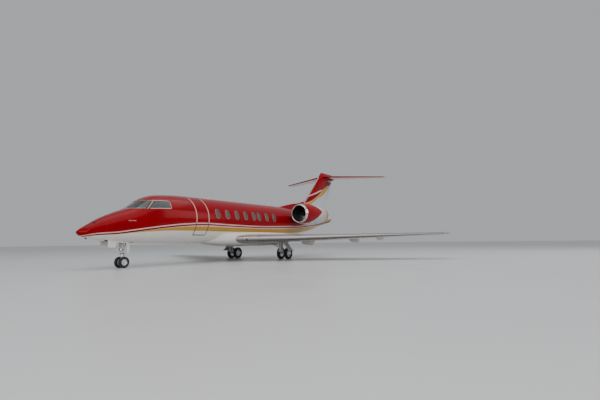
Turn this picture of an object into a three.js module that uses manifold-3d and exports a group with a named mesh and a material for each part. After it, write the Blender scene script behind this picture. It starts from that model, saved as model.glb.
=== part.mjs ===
// Business jet with two rear engines, a T-tail and a low wing, standing on its wheels.
// Millimetres. +X points aft, +Y to starboard and +Z up. The origin is on the floor,
// halfway along the length and on the centre plane. A station is a distance aft of the nose tip.
import * as THREE from 'three';
import { mergeVertices } from 'three/addons/utils/BufferGeometryUtils.js';
import Module from 'manifold-3d';

const wasm = await Module();
wasm.setup();

// Driving dimensions
const LENGTH = 20920;
const HALF_SPAN = 9950;
const NOSE_X = -LENGTH / 2;
const GAP = 0.3;
const RUNNING_GAP = 8;
const PIN_PLAY = 0.8;
const SIDES = { port: -1, starboard: 1 };

// Fuselage splits and inside
const RADOME_END = 900;
const COCKPIT_START = 1650;
const COCKPIT_END = 4300;
const CABIN_END = 11300;
const AFT_END = 16200;
const TAIL_END = 19400;
const WALL = 70;
const AFT_WALL = 40;
const TAIL_ROOM_END = 18900;
const EXHAUST_DUCT = { start: 18800, z: 2600, radius: 95 };
const FLOOR_Z = 1300;
const FUSELAGE_SIDES = 28;
const STRAIGHT = { start: 5200, end: 11300 };

// Each row is a fuselage section: its station, top and bottom heights, half width and
// the power of its superellipse, 2 for an ellipse and more for fuller corners.
const FUSELAGE = [
  { station: 0, top: 1440, bottom: 1350, half: 45, power: 2 },
  { station: 90, top: 1515, bottom: 1280, half: 125, power: 2 },
  { station: 350, top: 1672, bottom: 1195, half: 285, power: 2 },
  { station: 900, top: 1975, bottom: 1085, half: 510, power: 2 },
  { station: 1500, top: 2225, bottom: 1035, half: 695, power: 2.1 },
  { station: 2030, top: 2425, bottom: 1000, half: 840, power: 2.3 },
  { station: 2700, top: 2845, bottom: 970, half: 975, power: 2.3 },
  { station: 3100, top: 3005, bottom: 960, half: 1035, power: 2.25 },
  { station: 3500, top: 3065, bottom: 950, half: 1080, power: 2.15 },
  { station: 4300, top: 3120, bottom: 935, half: 1135, power: 2.05 },
  { station: 5200, top: 3130, bottom: 930, half: 1150, power: 2 },
  { station: 11300, top: 3130, bottom: 930, half: 1150, power: 2 },
  { station: 12600, top: 3110, bottom: 1030, half: 1130, power: 2 },
  { station: 14400, top: 3060, bottom: 1340, half: 990, power: 2 },
  { station: 16200, top: 2990, bottom: 1700, half: 730, power: 2 },
  { station: 18000, top: 2950, bottom: 2110, half: 430, power: 2 },
  { station: 19250, top: 2905, bottom: 2340, half: 265, power: 2 },
  { station: 19400, top: 2850, bottom: 2400, half: 200, power: 2 },
];
const SECTION_STEP = { nose: 600, tail: 1250 };

// Belly fairing sections: half width, bottom and top heights
const BELLY = [
  { station: 6100, half: 350, bottom: 938, top: 1350 },
  { station: 6900, half: 1090, bottom: 860, top: 1520 },
  { station: 7800, half: 1180, bottom: 780, top: 1600 },
  { station: 9200, half: 1190, bottom: 750, top: 1620 },
  { station: 11600, half: 1190, bottom: 760, top: 1600 },
  { station: 12700, half: 1000, bottom: 880, top: 1500 },
  { station: 13700, half: 400, bottom: 1130, top: 1450 },
];

// Cockpit glass: outlines are station and height, seen from the side, or Y and height, seen from ahead
const WINDSHIELD = [[40, 2400], [732, 2402], [596, 2742], [40, 2748]];
const WINDSHIELD_REACH = [1500, 2850];
const SIDE_WINDOW = [[2550, 2405], [3482, 2440], [3504, 2744], [2885, 2736]];
const GLASS_DEPTH = 22;
const GLASS = 12;

// Cabin windows
const WINDOW = {
  first: 6200, pitch: 686, jump: 454, jumpAfter: 5, count: 8,
  z: 2330, width: 270, height: 420,
};
const BAND = { drop: 290, thickness: 14, run: 220 };

// Airstair door, hinged on a barrel along its lower edge
const DOOR = {
  start: 4815, end: 5570, top: 3000, hingeZ: FLOOR_Z + 14, hingeInset: 12,
  barrel: 16, pin: 7, pinReach: 32,
};
const STEP = {
  count: 5, first: 120, topMargin: 160, endMargin: 90,
  shortest: 150, growth: 30, longest: 210, thickness: 30,
};

// Wing sections: distance from the centre plane, leading and trailing edge stations,
// height of the chord and thickness as a fraction of the chord
const WING = [
  { span: 1000, front: 7260, rear: 11900, z: 1130, thickness: 0.105 },
  { span: 3600, front: 8985, rear: 12700, z: 1160, thickness: 0.1 },
  { span: HALF_SPAN, front: 13200, rear: 14500, z: 1310, thickness: 0.09 },
];
const TRAILING_EDGE = 8;
const AEROFOIL_STEPS = 7;
const FLAP = { inner: 1330, outer: 6700, hinge: 0.73 };
const FLAP_GAP = 10;
const AILERON = { inner: 6900, outer: 9350, hinge: 0.74, endGap: 22 };

// Flap track pods: how far each reaches ahead of and behind its deepest point, its height and width
const FLAP_TRACKS = [
  { span: 2700, ahead: 1250, behind: 420, height: 400, width: 190 },
  { span: 5200, ahead: 1080, behind: 400, height: 340, width: 175 },
  { span: 6500, ahead: 850, behind: 400, height: 250, width: 155 },
];
const TRACK_OVERHANG = 380;
const TRACK_DROP = 10;
const JACK_PAD = {
  radius: 45, height: 100, wingSpan: 3400, wingChord: 0.35, wingDrop: 230,
  noseStation: 2440, noseZ: 940,
};

// Tail
const FIN = [
  { height: 2650, front: 14790, rear: 18350, thickness: 0.09 },
  { height: 5640, front: 17840, rear: 19950, thickness: 0.105 },
];
const DORSAL = [[12150, 2700], [12150, 3060], [14200, 3420], [15600, 3600], [16700, 3900], [16700, 2700]];
const DORSAL_HALF = 45;
const RUDDER = { inner: 3120, outer: 5500, hinge: 0.68, endGap: 40 };
const STABILIZER = [
  { span: 0, front: 18420, rear: 20300, z: 5760, thickness: 0.1 },
  { span: 4150, front: 20010, rear: LENGTH, z: 5580, thickness: 0.09 },
];
const ELEVATOR = { inner: 330, outer: 4020, hinge: 0.68, endGap: 22 };
const CAP_BOTTOM = FIN[1].height + GAP;
const FIN_CAP = {
  half: 150,
  outline: [
    [17855, CAP_BOTTOM], [18235, 6030], [19300, 6050],
    [20020, 6010], [20200, 5860], [20230, CAP_BOTTOM],
  ],
  sections: [{ height: 5600, front: 17800, rear: 20330 }, { height: 6100, front: 18300, rear: 20330 }],
};

// Hinge pins of the rudder, elevators and ailerons, and the slant of a surface's outer end,
// which keeps it clear of the fixed part as the surface turns about its swept hinge line
const SURFACE_PIN = { radius: 10, inside: 60, reach: 45, bore: 55 };
const OUTER_SLANT = 0.045;

// Engines
const ENGINE = { y: 1800, z: 2620, inlet: 12280, sides: 24 };
const NACELLE_OUTER = [[0, 508], [60, 555], [300, 610], [900, 645], [1700, 620], [2400, 520], [2950, 412]];
const NACELLE_INNER = [[2950, 396], [2200, 450], [450, 450], [60, 462]];
const FAN = {
  x: 600, radius: 442, blades: 18, chord: 130, thick: 9, pitch: 0.65,
  hub: 135, depth: 120, nose: 250,
};
const SHAFT = { radius: 60, length: 90, play: 0.5 };
const CORE = [[760, 0], [760, 215], [1300, 275], [2100, 290], [2750, 205], [3300, 25], [3300, 0]];
const VANES = { count: 8, x: 960, chord: 150, thick: 14, root: 100 };
const PYLON = { front: 12950, rear: 15150, inner: 800, outer: 1330, thickness: 0.068 };

// Landing gear. Wheels: station, distance apart, tyre radius, half width and rim radius
const NOSE_GEAR = {
  station: 1890, spread: 145, tyre: 223, half: 54, rim: 125, axle: 24, lug: 44,
  pin: 45, cylinder: 64,
};
const MAIN_GEAR = {
  station: 10750, track: 1830, spread: 245, tyre: 327, half: 84, rim: 185, axle: 42, lug: 75,
};
const TYRE_SIDES = 24;
const HUB_SIDES = 20;
const LUG_WALL = 1.55;
const BAY = { start: 1000, end: 2260, half: 235, top: 1230 };
const NOSE_LEG = {
  collar: 640, collarHeight: 70, bore: 190,
  trunnion: { radius: 38, half: 180, drop: 45 },
  brace: { foot: 720, reach: 320, radius: 26, pivot: 30, half: 150, block: [40, 60, 60] },
};
const TORQUE_LINK = { reach: 110, rise: 225, radius: 16, knee: [20, 26, 18], low: [60, 60], high: [50, 40] };

// Nose gear door outline: distance aft of the bay's front end, and height
const NOSE_DOOR = {
  outset: 12, half: 9, top: 1400,
  outline: [
    [100, 845], [130, 820], [420, 820], [445, 860], [455, 1015],
    [915, 985], [930, 620], [948, 595], [1020, 595], [1040, 640],
  ],
};

// Main leg: the knee's lead ahead of the axle and its height, the strut, the trailing arm,
// the shock strut from the arm to the wing, and the side brace to the belly
const LEG = {
  lead: 430, knee: 470, kneeHalf: 70, kneeRadius: 62, radius: 72, rake: 60, top: 1080,
  arm: 52, shock: 40, shockFoot: [150, 60], shockHead: [130, 60], crossbar: [40, 170],
  brace: 34, braceLag: 20, braceFoot: 640, braceEnd: [1120, 905],
};

// Leg door: how far it starts and ends from the knee, and its section, outward of the leg and height
const LEG_DOOR = {
  start: 40, end: 480, thickness: 14, section: [[62, 1100], [385, 650], [600, 470]],
  stays: [[75, 900], [75, 790]], stay: 22,
};

// Furniture
const DECK = 40;
const PANEL = { start: 2050, end: 2330, top: 2240 };
const PEDESTAL = { start: 2300, end: 3150, half: 130, top: 1800 };
const SEAT = { base: 130, half: 250, cushion: [250, 430], back: [190, 300], top: 1080 };
const PILOT_SEAT = { station: 3150, y: 480 };
const CHAIRS = [[6500, -1], [8000, 1], [9350, -1], [10350, 1]];
const CHAIR_Y = 620;
const SLAB_REACH = [-200, 7000];

const PAINT_RED = new THREE.MeshStandardMaterial({ color: 0x9c0410, roughness: 0.2, metalness: 0.1 });
const PAINT_WHITE = new THREE.MeshStandardMaterial({ color: 0xe9e6e2, roughness: 0.25, metalness: 0 });
const DARK_GLASS = new THREE.MeshStandardMaterial({ color: 0x20262b, roughness: 0.08, metalness: 0 });
const INTERIOR = new THREE.MeshStandardMaterial({ color: 0xb7a68c, roughness: 0.8, metalness: 0 });
const BARE_METAL = new THREE.MeshStandardMaterial({ color: 0xb9bcc0, roughness: 0.3, metalness: 0.9 });
const GEAR_METAL = new THREE.MeshStandardMaterial({ color: 0xc9cacb, roughness: 0.4, metalness: 0.4 });
const RUBBER = new THREE.MeshStandardMaterial({ color: 0x151515, roughness: 0.85, metalness: 0 });

const jet = new THREE.Group();

// Solids

function solid(geometry) {
  const bare = geometry.index ? geometry.clone() : geometry;
  bare.deleteAttribute('normal');
  bare.deleteAttribute('uv');
  const merged = mergeVertices(bare, 1e-3);
  const mesh = new wasm.Mesh({
    numProp: 3,
    vertProperties: new Float32Array(merged.attributes.position.array),
    triVerts: new Uint32Array(merged.index.array),
  });
  return new wasm.Manifold(mesh);
}

function geometryOf(manifold) {
  const mesh = manifold.getMesh();
  const geometry = new THREE.BufferGeometry();
  geometry.setAttribute('position', new THREE.BufferAttribute(mesh.vertProperties, 3));
  geometry.setIndex(new THREE.BufferAttribute(mesh.triVerts, 1));
  geometry.computeVertexNormals();
  return geometry;
}

function addNode(name, manifold, material) {
  const mesh = new THREE.Mesh(geometryOf(manifold), material);
  mesh.name = name;
  jet.add(mesh);
}

function joined(parts) {
  return parts.reduce((whole, part) => whole.add(part));
}

// A closed body through rings that all have the same number of points
function loft(rings) {
  const count = rings[0].length;
  const positions = rings.flat().flatMap((point) => [point.x, point.y, point.z]);
  const indices = [];
  for (let ring = 0; ring + 1 < rings.length; ring += 1) {
    for (let side = 0; side < count; side += 1) {
      const a = ring * count + side;
      const b = ring * count + ((side + 1) % count);
      indices.push(a, b, b + count, a, b + count, a + count);
    }
  }
  for (const [ring, turn] of [[rings[0], -1], [rings.at(-1), 1]]) {
    const middle = ring.reduce((sum, point) => sum.add(point), new THREE.Vector3()).divideScalar(count);
    const hub = positions.length / 3;
    const start = turn < 0 ? 0 : (rings.length - 1) * count;
    positions.push(middle.x, middle.y, middle.z);
    for (let side = 0; side < count; side += 1) {
      const a = start + side;
      const b = start + ((side + 1) % count);
      indices.push(...(turn < 0 ? [hub, b, a] : [hub, a, b]));
    }
  }
  const geometry = new THREE.BufferGeometry();
  geometry.setAttribute('position', new THREE.Float32BufferAttribute(positions, 3));
  geometry.setIndex(facingOut(positions, indices));
  return solid(geometry);
}

function facingOut(positions, indices) {
  const corner = (index) => new THREE.Vector3().fromArray(positions, 3 * index);
  let volume = 0;
  for (let i = 0; i < indices.length; i += 3) {
    const [a, b, c] = indices.slice(i, i + 3).map(corner);
    volume += a.dot(b.cross(c));
  }
  return volume > 0 ? indices : indices.reverse();
}

function box(x0, x1, y0, y1, z0, z1) {
  const geometry = new THREE.BoxGeometry(x1 - x0, y1 - y0, z1 - z0);
  geometry.translate((x0 + x1) / 2, (y0 + y1) / 2, (z0 + z1) / 2);
  return solid(geometry);
}

function outlineShape(points) {
  return new THREE.Shape(points.map(([a, b]) => new THREE.Vector2(a, b)));
}

// A slab seen from above: points are X and Y
function slab(points, z0, z1) {
  const geometry = new THREE.ExtrudeGeometry(outlineShape(points), { depth: z1 - z0, bevelEnabled: false });
  geometry.translate(0, 0, z0);
  return solid(geometry);
}

// A plate seen from the side: points are station and Z
function plate(points, y0, y1) {
  const shape = outlineShape(points.map(([station, z]) => [station + NOSE_X, z]));
  const geometry = new THREE.ExtrudeGeometry(shape, { depth: y1 - y0, bevelEnabled: false });
  geometry.rotateX(Math.PI / 2);
  geometry.translate(0, y1, 0);
  return solid(geometry);
}

// A plate seen from ahead: points are Y and Z
function frontPlate(points, start, end) {
  const geometry = new THREE.ExtrudeGeometry(outlineShape(points), { depth: end - start, bevelEnabled: false });
  geometry.rotateX(Math.PI / 2);
  geometry.rotateZ(Math.PI / 2);
  geometry.translate(start + NOSE_X, 0, 0);
  return solid(geometry);
}

// A round bar between two points, tapered where the second radius differs
function bar(from, to, radius, sides = 10, endRadius = radius) {
  const start = new THREE.Vector3(...from);
  const end = new THREE.Vector3(...to);
  const along = end.clone().sub(start);
  const geometry = new THREE.CylinderGeometry(endRadius, radius, along.length(), sides);
  geometry.translate(0, along.length() / 2, 0);
  const turn = new THREE.Quaternion().setFromUnitVectors(new THREE.Vector3(0, 1, 0), along.normalize());
  geometry.applyQuaternion(turn);
  geometry.translate(...start.toArray());
  return solid(geometry);
}

// A turned body from pairs of distance along the axis and radius
function turned(profile, sides, axis) {
  const points = profile.map(([along, radius]) => new THREE.Vector2(radius, along));
  const geometry = new THREE.LatheGeometry(points, sides);
  if (axis === 'x') geometry.rotateZ(-Math.PI / 2);
  return withoutSlivers(geometry);
}

// A solid from a round geometry, without the flat triangles at its poles
function withoutSlivers(geometry) {
  geometry.deleteAttribute('normal');
  geometry.deleteAttribute('uv');
  const merged = mergeVertices(geometry, 1e-3);
  const positions = Array.from(merged.attributes.position.array);
  const triangles = [];
  for (let i = 0; i < merged.index.count; i += 3) {
    const [a, b, c] = [0, 1, 2].map((step) => merged.index.getX(i + step));
    if (a !== b && b !== c && c !== a) triangles.push(a, b, c);
  }
  merged.setIndex(facingOut(positions, triangles));
  return solid(merged);
}

// Fuselage

function sectionAt(station, rows, key) {
  const last = rows.length - 1;
  let i = rows.findIndex((row, index) => index < last && station <= rows[index + 1].station);
  if (i < 0) i = last - 1;
  const slope = (k) => {
    const before = rows[Math.max(k - 1, 0)];
    const after = rows[Math.min(k + 1, last)];
    return (after[key] - before[key]) / (after.station - before.station);
  };
  const flat = (k) => {
    const left = k > 0 ? rows[k][key] - rows[k - 1][key] : 1;
    const right = k < last ? rows[k + 1][key] - rows[k][key] : 1;
    return left * right <= 0 ? 0 : slope(k);
  };
  const [p, q] = [rows[i], rows[i + 1]];
  const run = q.station - p.station;
  const t = (station - p.station) / run;
  const bendIn = flat(i) * run;
  const bendOut = flat(i + 1) * run;
  const rise = q[key] - p[key];
  const square = 3 * rise - 2 * bendIn - bendOut;
  const cube = bendIn + bendOut - 2 * rise;
  return p[key] + bendIn * t + square * t ** 2 + cube * t ** 3;
}

function stationsBetween(start, end) {
  const rows = FUSELAGE.map((row) => row.station);
  const stops = [start, ...rows.filter((station) => station > start + 20 && station < end - 20), end];
  const stations = [];
  for (let i = 0; i + 1 < stops.length; i += 1) {
    const straight = stops[i] >= STRAIGHT.start && stops[i + 1] <= STRAIGHT.end;
    const step = stops[i] < STRAIGHT.start ? SECTION_STEP.nose : SECTION_STEP.tail;
    const parts = straight ? 1 : Math.ceil((stops[i + 1] - stops[i]) / step);
    for (let k = 0; k < parts; k += 1) stations.push(stops[i] + ((stops[i + 1] - stops[i]) * k) / parts);
  }
  stations.push(end);
  return stations;
}

// The fuselage's outer form between two stations, drawn in by an inset
function fuselageBody(start, end, inset = 0) {
  const rings = stationsBetween(start, end).map((station) => {
    const top = sectionAt(station, FUSELAGE, 'top') - inset;
    const bottom = sectionAt(station, FUSELAGE, 'bottom') + inset;
    const half = sectionAt(station, FUSELAGE, 'half') - inset;
    return ellipseRing(station, half, bottom, top, sectionAt(station, FUSELAGE, 'power'), FUSELAGE_SIDES);
  });
  return loft(rings);
}

function ellipseRing(station, half, bottom, top, power, sides) {
  const middle = (top + bottom) / 2;
  const rise = (top - bottom) / 2;
  const bow = (value) => Math.sign(value) * Math.abs(value) ** (2 / power);
  return Array.from({ length: sides }, (_, side) => {
    const angle = (2 * Math.PI * side) / sides;
    const [out, up] = [bow(Math.sin(angle)), bow(Math.cos(angle))];
    return new THREE.Vector3(station + NOSE_X, half * out, middle + rise * up);
  });
}

const outerGrown = fuselageBody(0, TAIL_END, -GAP);

function aboveFloor(start, end) {
  return box(start + NOSE_X, end + NOSE_X, -2000, 2000, FLOOR_Z, 4000);
}

function windshieldHole(side, shrink) {
  return frontPlate(shrunk(WINDSHIELD, shrink).map(([y, z]) => [side * y, z]), ...WINDSHIELD_REACH);
}

function shrunk(points, by) {
  const mean = (axis) => points.reduce((sum, point) => sum + point[axis], 0) / points.length;
  const middle = [mean(0), mean(1)];
  return points.map(([a, b]) => {
    const reach = Math.hypot(a - middle[0], b - middle[1]);
    const scale = 1 - (1.6 * by) / reach;
    return [middle[0] + (a - middle[0]) * scale, middle[1] + (b - middle[1]) * scale];
  });
}

function sideWindowHole(side, shrink) {
  const points = shrunk(SIDE_WINDOW, shrink);
  return side < 0 ? plate(points, -1600, -300) : plate(points, 300, 1600);
}

function buildCockpit() {
  addNode('radome', fuselageBody(0, RADOME_END - GAP), PAINT_RED);
  const room = fuselageBody(COCKPIT_START, COCKPIT_END + 10, WALL)
    .intersect(aboveFloor(COCKPIT_START, COCKPIT_END + 10));
  let shell = fuselageBody(RADOME_END, COCKPIT_END - GAP).subtract(room);
  shell = shell.add(jackPad(JACK_PAD.noseStation, 0, JACK_PAD.noseZ));
  shell = shell.subtract(box(BAY.start + NOSE_X, BAY.end + NOSE_X, -BAY.half, BAY.half, 0, BAY.top));
  const pane = fuselageBody(COCKPIT_START - 500, COCKPIT_END, GLASS_DEPTH)
    .subtract(fuselageBody(COCKPIT_START - 510, COCKPIT_END + 10, GLASS_DEPTH + GLASS));
  for (const [name, side] of Object.entries(SIDES)) {
    const glass = windshieldHole(side, GAP).intersect(pane);
    addNode(`windshield_${name}`, glass, DARK_GLASS);
    addNode(`cockpit_side_window_${name}`, sideWindowHole(side, GAP).intersect(pane), DARK_GLASS);
    shell = shell.subtract(windshieldHole(side, 0)).subtract(sideWindowHole(side, 0));
  }
  addNode('cockpit_shell', shell, PAINT_RED);
}

function windowStations() {
  const { first, pitch, jump, jumpAfter, count } = WINDOW;
  return Array.from({ length: count }, (_, i) => {
    const after = i >= jumpAfter;
    return first + pitch * (after ? i - 1 : i) + (after ? jump : 0);
  });
}

function windowHole(station, side) {
  const { width, height, z } = WINDOW;
  const shape = new THREE.Shape();
  const [w, h] = [width / 2, height / 2];
  const corner = w * 0.9;
  shape.moveTo(-w, -h + corner);
  shape.lineTo(-w, h - corner);
  shape.absellipse(-w + corner, h - corner, corner, corner, Math.PI, Math.PI / 2, true);
  shape.lineTo(w - corner, h);
  shape.absellipse(w - corner, h - corner, corner, corner, Math.PI / 2, 0, true);
  shape.lineTo(w, -h + corner);
  shape.absellipse(w - corner, -h + corner, corner, corner, 0, -Math.PI / 2, true);
  shape.lineTo(-w + corner, -h);
  shape.absellipse(-w + corner, -h + corner, corner, corner, -Math.PI / 2, -Math.PI, true);
  const geometry = new THREE.ExtrudeGeometry(shape, { depth: 700, bevelEnabled: false, curveSegments: 1 });
  geometry.rotateX(Math.PI / 2);
  geometry.translate(station + NOSE_X, side < 0 ? -700 : 1400, z);
  return solid(geometry);
}

// The fuselage's half width at a height, on its flat facets
function skinAt(z, station) {
  const keys = ['half', 'bottom', 'top', 'power'];
  const [half, bottom, top, power] = keys.map((key) => sectionAt(station, FUSELAGE, key));
  const ring = ellipseRing(station, half, bottom, top, power, FUSELAGE_SIDES);
  const k = ring.findIndex((point, index) => index > 0 && point.z < z);
  const [a, b] = [ring[k - 1], ring[k]];
  return a.y + ((b.y - a.y) * (z - a.z)) / (b.z - a.z);
}

function doorHinge() {
  return { y: DOOR.hingeInset - skinAt(DOOR.hingeZ, DOOR.start), z: DOOR.hingeZ };
}

// The door and its opening end on arcs about the hinge, so the top edge swings out past the frame
function doorRegion(clearance) {
  const hinge = doorHinge();
  const reach = DOOR.top - hinge.z + clearance;
  const [x0, x1] = [DOOR.start - clearance + NOSE_X, DOOR.end + clearance + NOSE_X];
  const drum = bar([x0, hinge.y, hinge.z], [x1, hinge.y, hinge.z], reach, 72);
  return drum.intersect(box(x0, x1, -1700, -250, hinge.z + RUNNING_GAP - clearance, 3600));
}

function hingeRod(radius, past) {
  const { y, z } = doorHinge();
  return bar([DOOR.start - past + NOSE_X, y, z], [DOOR.end + past + NOSE_X, y, z], radius, 20);
}

function buildCabin() {
  const room = fuselageBody(COCKPIT_END - 10, CABIN_END + 10, WALL)
    .intersect(aboveFloor(COCKPIT_END - 10, CABIN_END + 10));
  const wall = fuselageBody(COCKPIT_END, CABIN_END - GAP).subtract(room);
  let shell = wall.subtract(doorRegion(RUNNING_GAP))
    .subtract(hingeRod(DOOR.barrel + RUNNING_GAP, RUNNING_GAP))
    .subtract(hingeRod(DOOR.pin + PIN_PLAY, DOOR.pinReach + 10));
  const outer = fuselageBody(COCKPIT_END, CABIN_END - GAP, WALL + GAP);
  const inner = fuselageBody(COCKPIT_END - 10, CABIN_END + 10, WALL + BAND.thickness);
  const stations = windowStations();
  for (const [name, side] of Object.entries(SIDES)) {
    for (const station of stations) shell = shell.subtract(windowHole(station, side));
    const [x0, x1] = [stations[0] - BAND.run + NOSE_X, stations.at(-1) + BAND.run + NOSE_X];
    const [y0, y1] = side < 0 ? [-1300, -500] : [500, 1300];
    const band = outer.subtract(inner)
      .intersect(box(x0, x1, y0, y1, WINDOW.z - BAND.drop, WINDOW.z + BAND.drop));
    addNode(`window_band_${name}`, band, DARK_GLASS);
  }
  addNode('cabin_shell', shell, PAINT_RED);
  addNode('airstair_door', airstair(wall), PAINT_RED);
}

function airstair(wall) {
  const region = doorRegion(0);
  const hinge = doorHinge();
  const rise = (DOOR.top - STEP.topMargin - hinge.z) / STEP.count;
  const [x0, x1] = [DOOR.start + STEP.endMargin + NOSE_X, DOOR.end - STEP.endMargin + NOSE_X];
  const steps = Array.from({ length: STEP.count }, (_, i) => {
    const z = hinge.z + STEP.first + rise * i;
    const skin = skinAt(z, DOOR.start);
    const depth = Math.min(STEP.longest, STEP.shortest + STEP.growth * i);
    return box(x0, x1, -skin + 20, -skin + WALL + depth, z, z + STEP.thickness).intersect(region);
  });
  const skin = wall.intersect(region);
  return joined([skin, ...steps, hingeRod(DOOR.barrel, 0), hingeRod(DOOR.pin, DOOR.pinReach)]);
}

function seat(station, y, z, facing) {
  const x = station + NOSE_X;
  const { base, half, cushion, back, top } = SEAT;
  const [x0, x1] = facing > 0 ? [x + back[0], x + back[1]] : [x - back[1], x - back[0]];
  return joined([
    box(x - base, x + base, y - base, y + base, z - 5, z + cushion[0] + 10),
    box(x - half, x + half, y - half, y + half, z + cushion[0], z + cushion[1]),
    box(x0, x1, y - half + 10, y + half - 10, z + cushion[0] + 50, z + top),
  ]);
}

function buildInterior() {
  const z = FLOOR_Z + GAP;
  const top = z + DECK;
  const deckPlate = fuselageBody(COCKPIT_START + 10, COCKPIT_END - GAP, WALL + 2).intersect(
    box(COCKPIT_START + 20 + NOSE_X, COCKPIT_END - 1 + NOSE_X, -2000, 2000, z, top),
  );
  const panel = fuselageBody(COCKPIT_START + 10, COCKPIT_END - GAP, WALL + 6)
    .intersect(box(PANEL.start + NOSE_X, PANEL.end + NOSE_X, -2000, 2000, z, PANEL.top));
  const { start, end, half } = PEDESTAL;
  const pedestal = box(start + NOSE_X, end + NOSE_X, -half, half, z, PEDESTAL.top);
  const seats = Object.values(SIDES).map((side) => seat(PILOT_SEAT.station, side * PILOT_SEAT.y, top, 1));
  addNode('cockpit_deck', joined([deckPlate, panel, pedestal, ...seats]), INTERIOR);
  const sill = DOOR.hingeInset - doorHinge().y - WALL - RUNNING_GAP;
  const floor = fuselageBody(COCKPIT_END + GAP, CABIN_END - GAP, WALL + 2)
    .intersect(box(COCKPIT_END + 1 + NOSE_X, CABIN_END - 1 + NOSE_X, -2000, 2000, z, top))
    .subtract(box(DOOR.start - 20 + NOSE_X, DOOR.end + 20 + NOSE_X, -2000, -sill, z - 5, top + 5));
  const chairs = CHAIRS.flatMap(([station, facing]) => (
    Object.values(SIDES).map((side) => seat(station, side * CHAIR_Y, top, facing))
  ));
  addNode('cabin_deck', joined([floor, ...chairs]), INTERIOR);
}

function buildAft() {
  const room = fuselageBody(CABIN_END - 10, AFT_END - AFT_WALL, AFT_WALL);
  addNode('aft_fuselage', fuselageBody(CABIN_END, AFT_END - GAP).subtract(room), PAINT_RED);
  const cone = fuselageBody(AFT_END - 10, TAIL_ROOM_END, AFT_WALL);
  const { start, z, radius } = EXHAUST_DUCT;
  const duct = bar([start + NOSE_X, 0, z], [TAIL_END + 50 + NOSE_X, 0, z], radius, 12);
  addNode('tail_cone', fuselageBody(AFT_END, TAIL_END).subtract(cone).subtract(duct), PAINT_WHITE);
}

function bellyBody(grow) {
  const rings = [];
  for (let station = BELLY[0].station; station <= BELLY.at(-1).station; station += 760) {
    const half = sectionAt(station, BELLY, 'half') + grow;
    const bottom = sectionAt(station, BELLY, 'bottom') - grow;
    const top = sectionAt(station, BELLY, 'top') + grow;
    rings.push(ellipseRing(station, half, bottom, top, 3, 24));
  }
  return loft(rings);
}

// Wings and tail

function aerofoilRing(front, rear, thickness, place) {
  const chord = rear - front;
  const half = (f) => {
    const curve = 0.2969 * Math.sqrt(f) - 0.126 * f - 0.3516 * f ** 2 + 0.2843 * f ** 3 - 0.1036 * f ** 4;
    return 5 * thickness * chord * curve + (TRAILING_EDGE / 2) * f;
  };
  const eased = (k) => (1 - Math.cos((Math.PI * k) / AEROFOIL_STEPS)) / 2;
  const steps = Array.from({ length: AEROFOIL_STEPS + 1 }, (_, k) => eased(k));
  const upper = [...steps].reverse().map((f) => place(front + f * chord, half(f)));
  const lower = steps.slice(1).map((f) => place(front + f * chord, -half(f)));
  return [...upper, ...lower];
}

function wingRing(row, side) {
  return aerofoilRing(row.front, row.rear, row.thickness, (station, rise) => (
    new THREE.Vector3(station + NOSE_X, side * row.span, row.z + rise)
  ));
}

function finRing(row) {
  return aerofoilRing(row.front, row.rear, row.thickness, (station, rise) => (
    new THREE.Vector3(station + NOSE_X, rise, row.height)
  ));
}

// The section of a wing, fin or stabilizer at a distance along it, from its table
function between(rows, key, at) {
  const next = Math.max(1, rows.findIndex((row) => at <= row[key]));
  const [p, q] = [rows[next - 1], rows[next]];
  const t = (at - p[key]) / (q[key] - p[key]);
  return Object.fromEntries(Object.keys(p).map((name) => [name, p[name] + (q[name] - p[name]) * t]));
}

function chordPoint(row, fraction) {
  return row.front + (row.rear - row.front) * fraction;
}

function halfThickness(row, fraction) {
  const ring = aerofoilRing(row.front, row.rear, row.thickness, (station, rise) => [station, rise]);
  const at = chordPoint(row, fraction);
  const upper = ring.slice(0, AEROFOIL_STEPS + 1);
  const k = upper.findIndex(([station]) => station <= at);
  const [a, b] = [upper[k - 1], upper[k]];
  return a[1] + ((b[1] - a[1]) * (at - a[0])) / (b[0] - a[0]);
}

// A hinged control surface: the region behind its hinge line, plus a round nose and two pins
// about that line. It gives the surface's own region, its nose, and the room cut in the fixed part.
function surfaceParts(rows, key, surface, toPoint, region, side = 1) {
  const { inner, outer, hinge, endGap } = surface;
  const [a, b] = [inner, outer].map((at) => {
    const row = between(rows, key, at);
    return { at, row, x: chordPoint(row, hinge), radius: halfThickness(row, hinge) };
  });
  const far = 1200;
  const lap = 7;
  const from = new THREE.Vector3(...toPoint(a.x, a.at, a.row, side));
  const to = new THREE.Vector3(...toPoint(b.x, b.at, b.row, side));
  const pointAt = (at) => from.clone().lerp(to, (at - a.at) / (b.at - a.at)).toArray();
  const strip = region([[a.x - far, a.at], [a.x + far, a.at], [b.x + far, b.at], [b.x - far, b.at]], side);
  const rod = bar(pointAt(a.at), pointAt(b.at), a.radius, 20, b.radius);
  const nose = [rod.intersect(strip)];
  const room = [];
  for (const [end, out] of [[a.at, -1], [b.at, 1]]) {
    const { radius, inside, reach, bore } = SURFACE_PIN;
    nose.push(bar(pointAt(end - out * inside), pointAt(end + out * (endGap + reach)), radius, 16));
    room.push(bar(pointAt(end), pointAt(end + out * (endGap + bore)), radius + PIN_PLAY, 16));
  }
  const own = region([
    [a.x + lap, a.at],
    [a.x + far, a.at],
    [b.x + far, b.at - OUTER_SLANT * far],
    [b.x + lap, b.at],
  ], side);
  const slope = (b.x - a.x) / (b.at - a.at);
  const lean = Math.hypot(1, slope);
  room.push(region([
    [a.x - (a.radius + RUNNING_GAP) * lean - slope * endGap, a.at - endGap],
    [a.x + far, a.at - endGap],
    [b.x + far, b.at + endGap],
    [b.x - (b.radius + RUNNING_GAP) * lean + slope * endGap, b.at + endGap],
  ], side));
  return { nose: joined(nose), own, cut: joined(room) };
}

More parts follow.
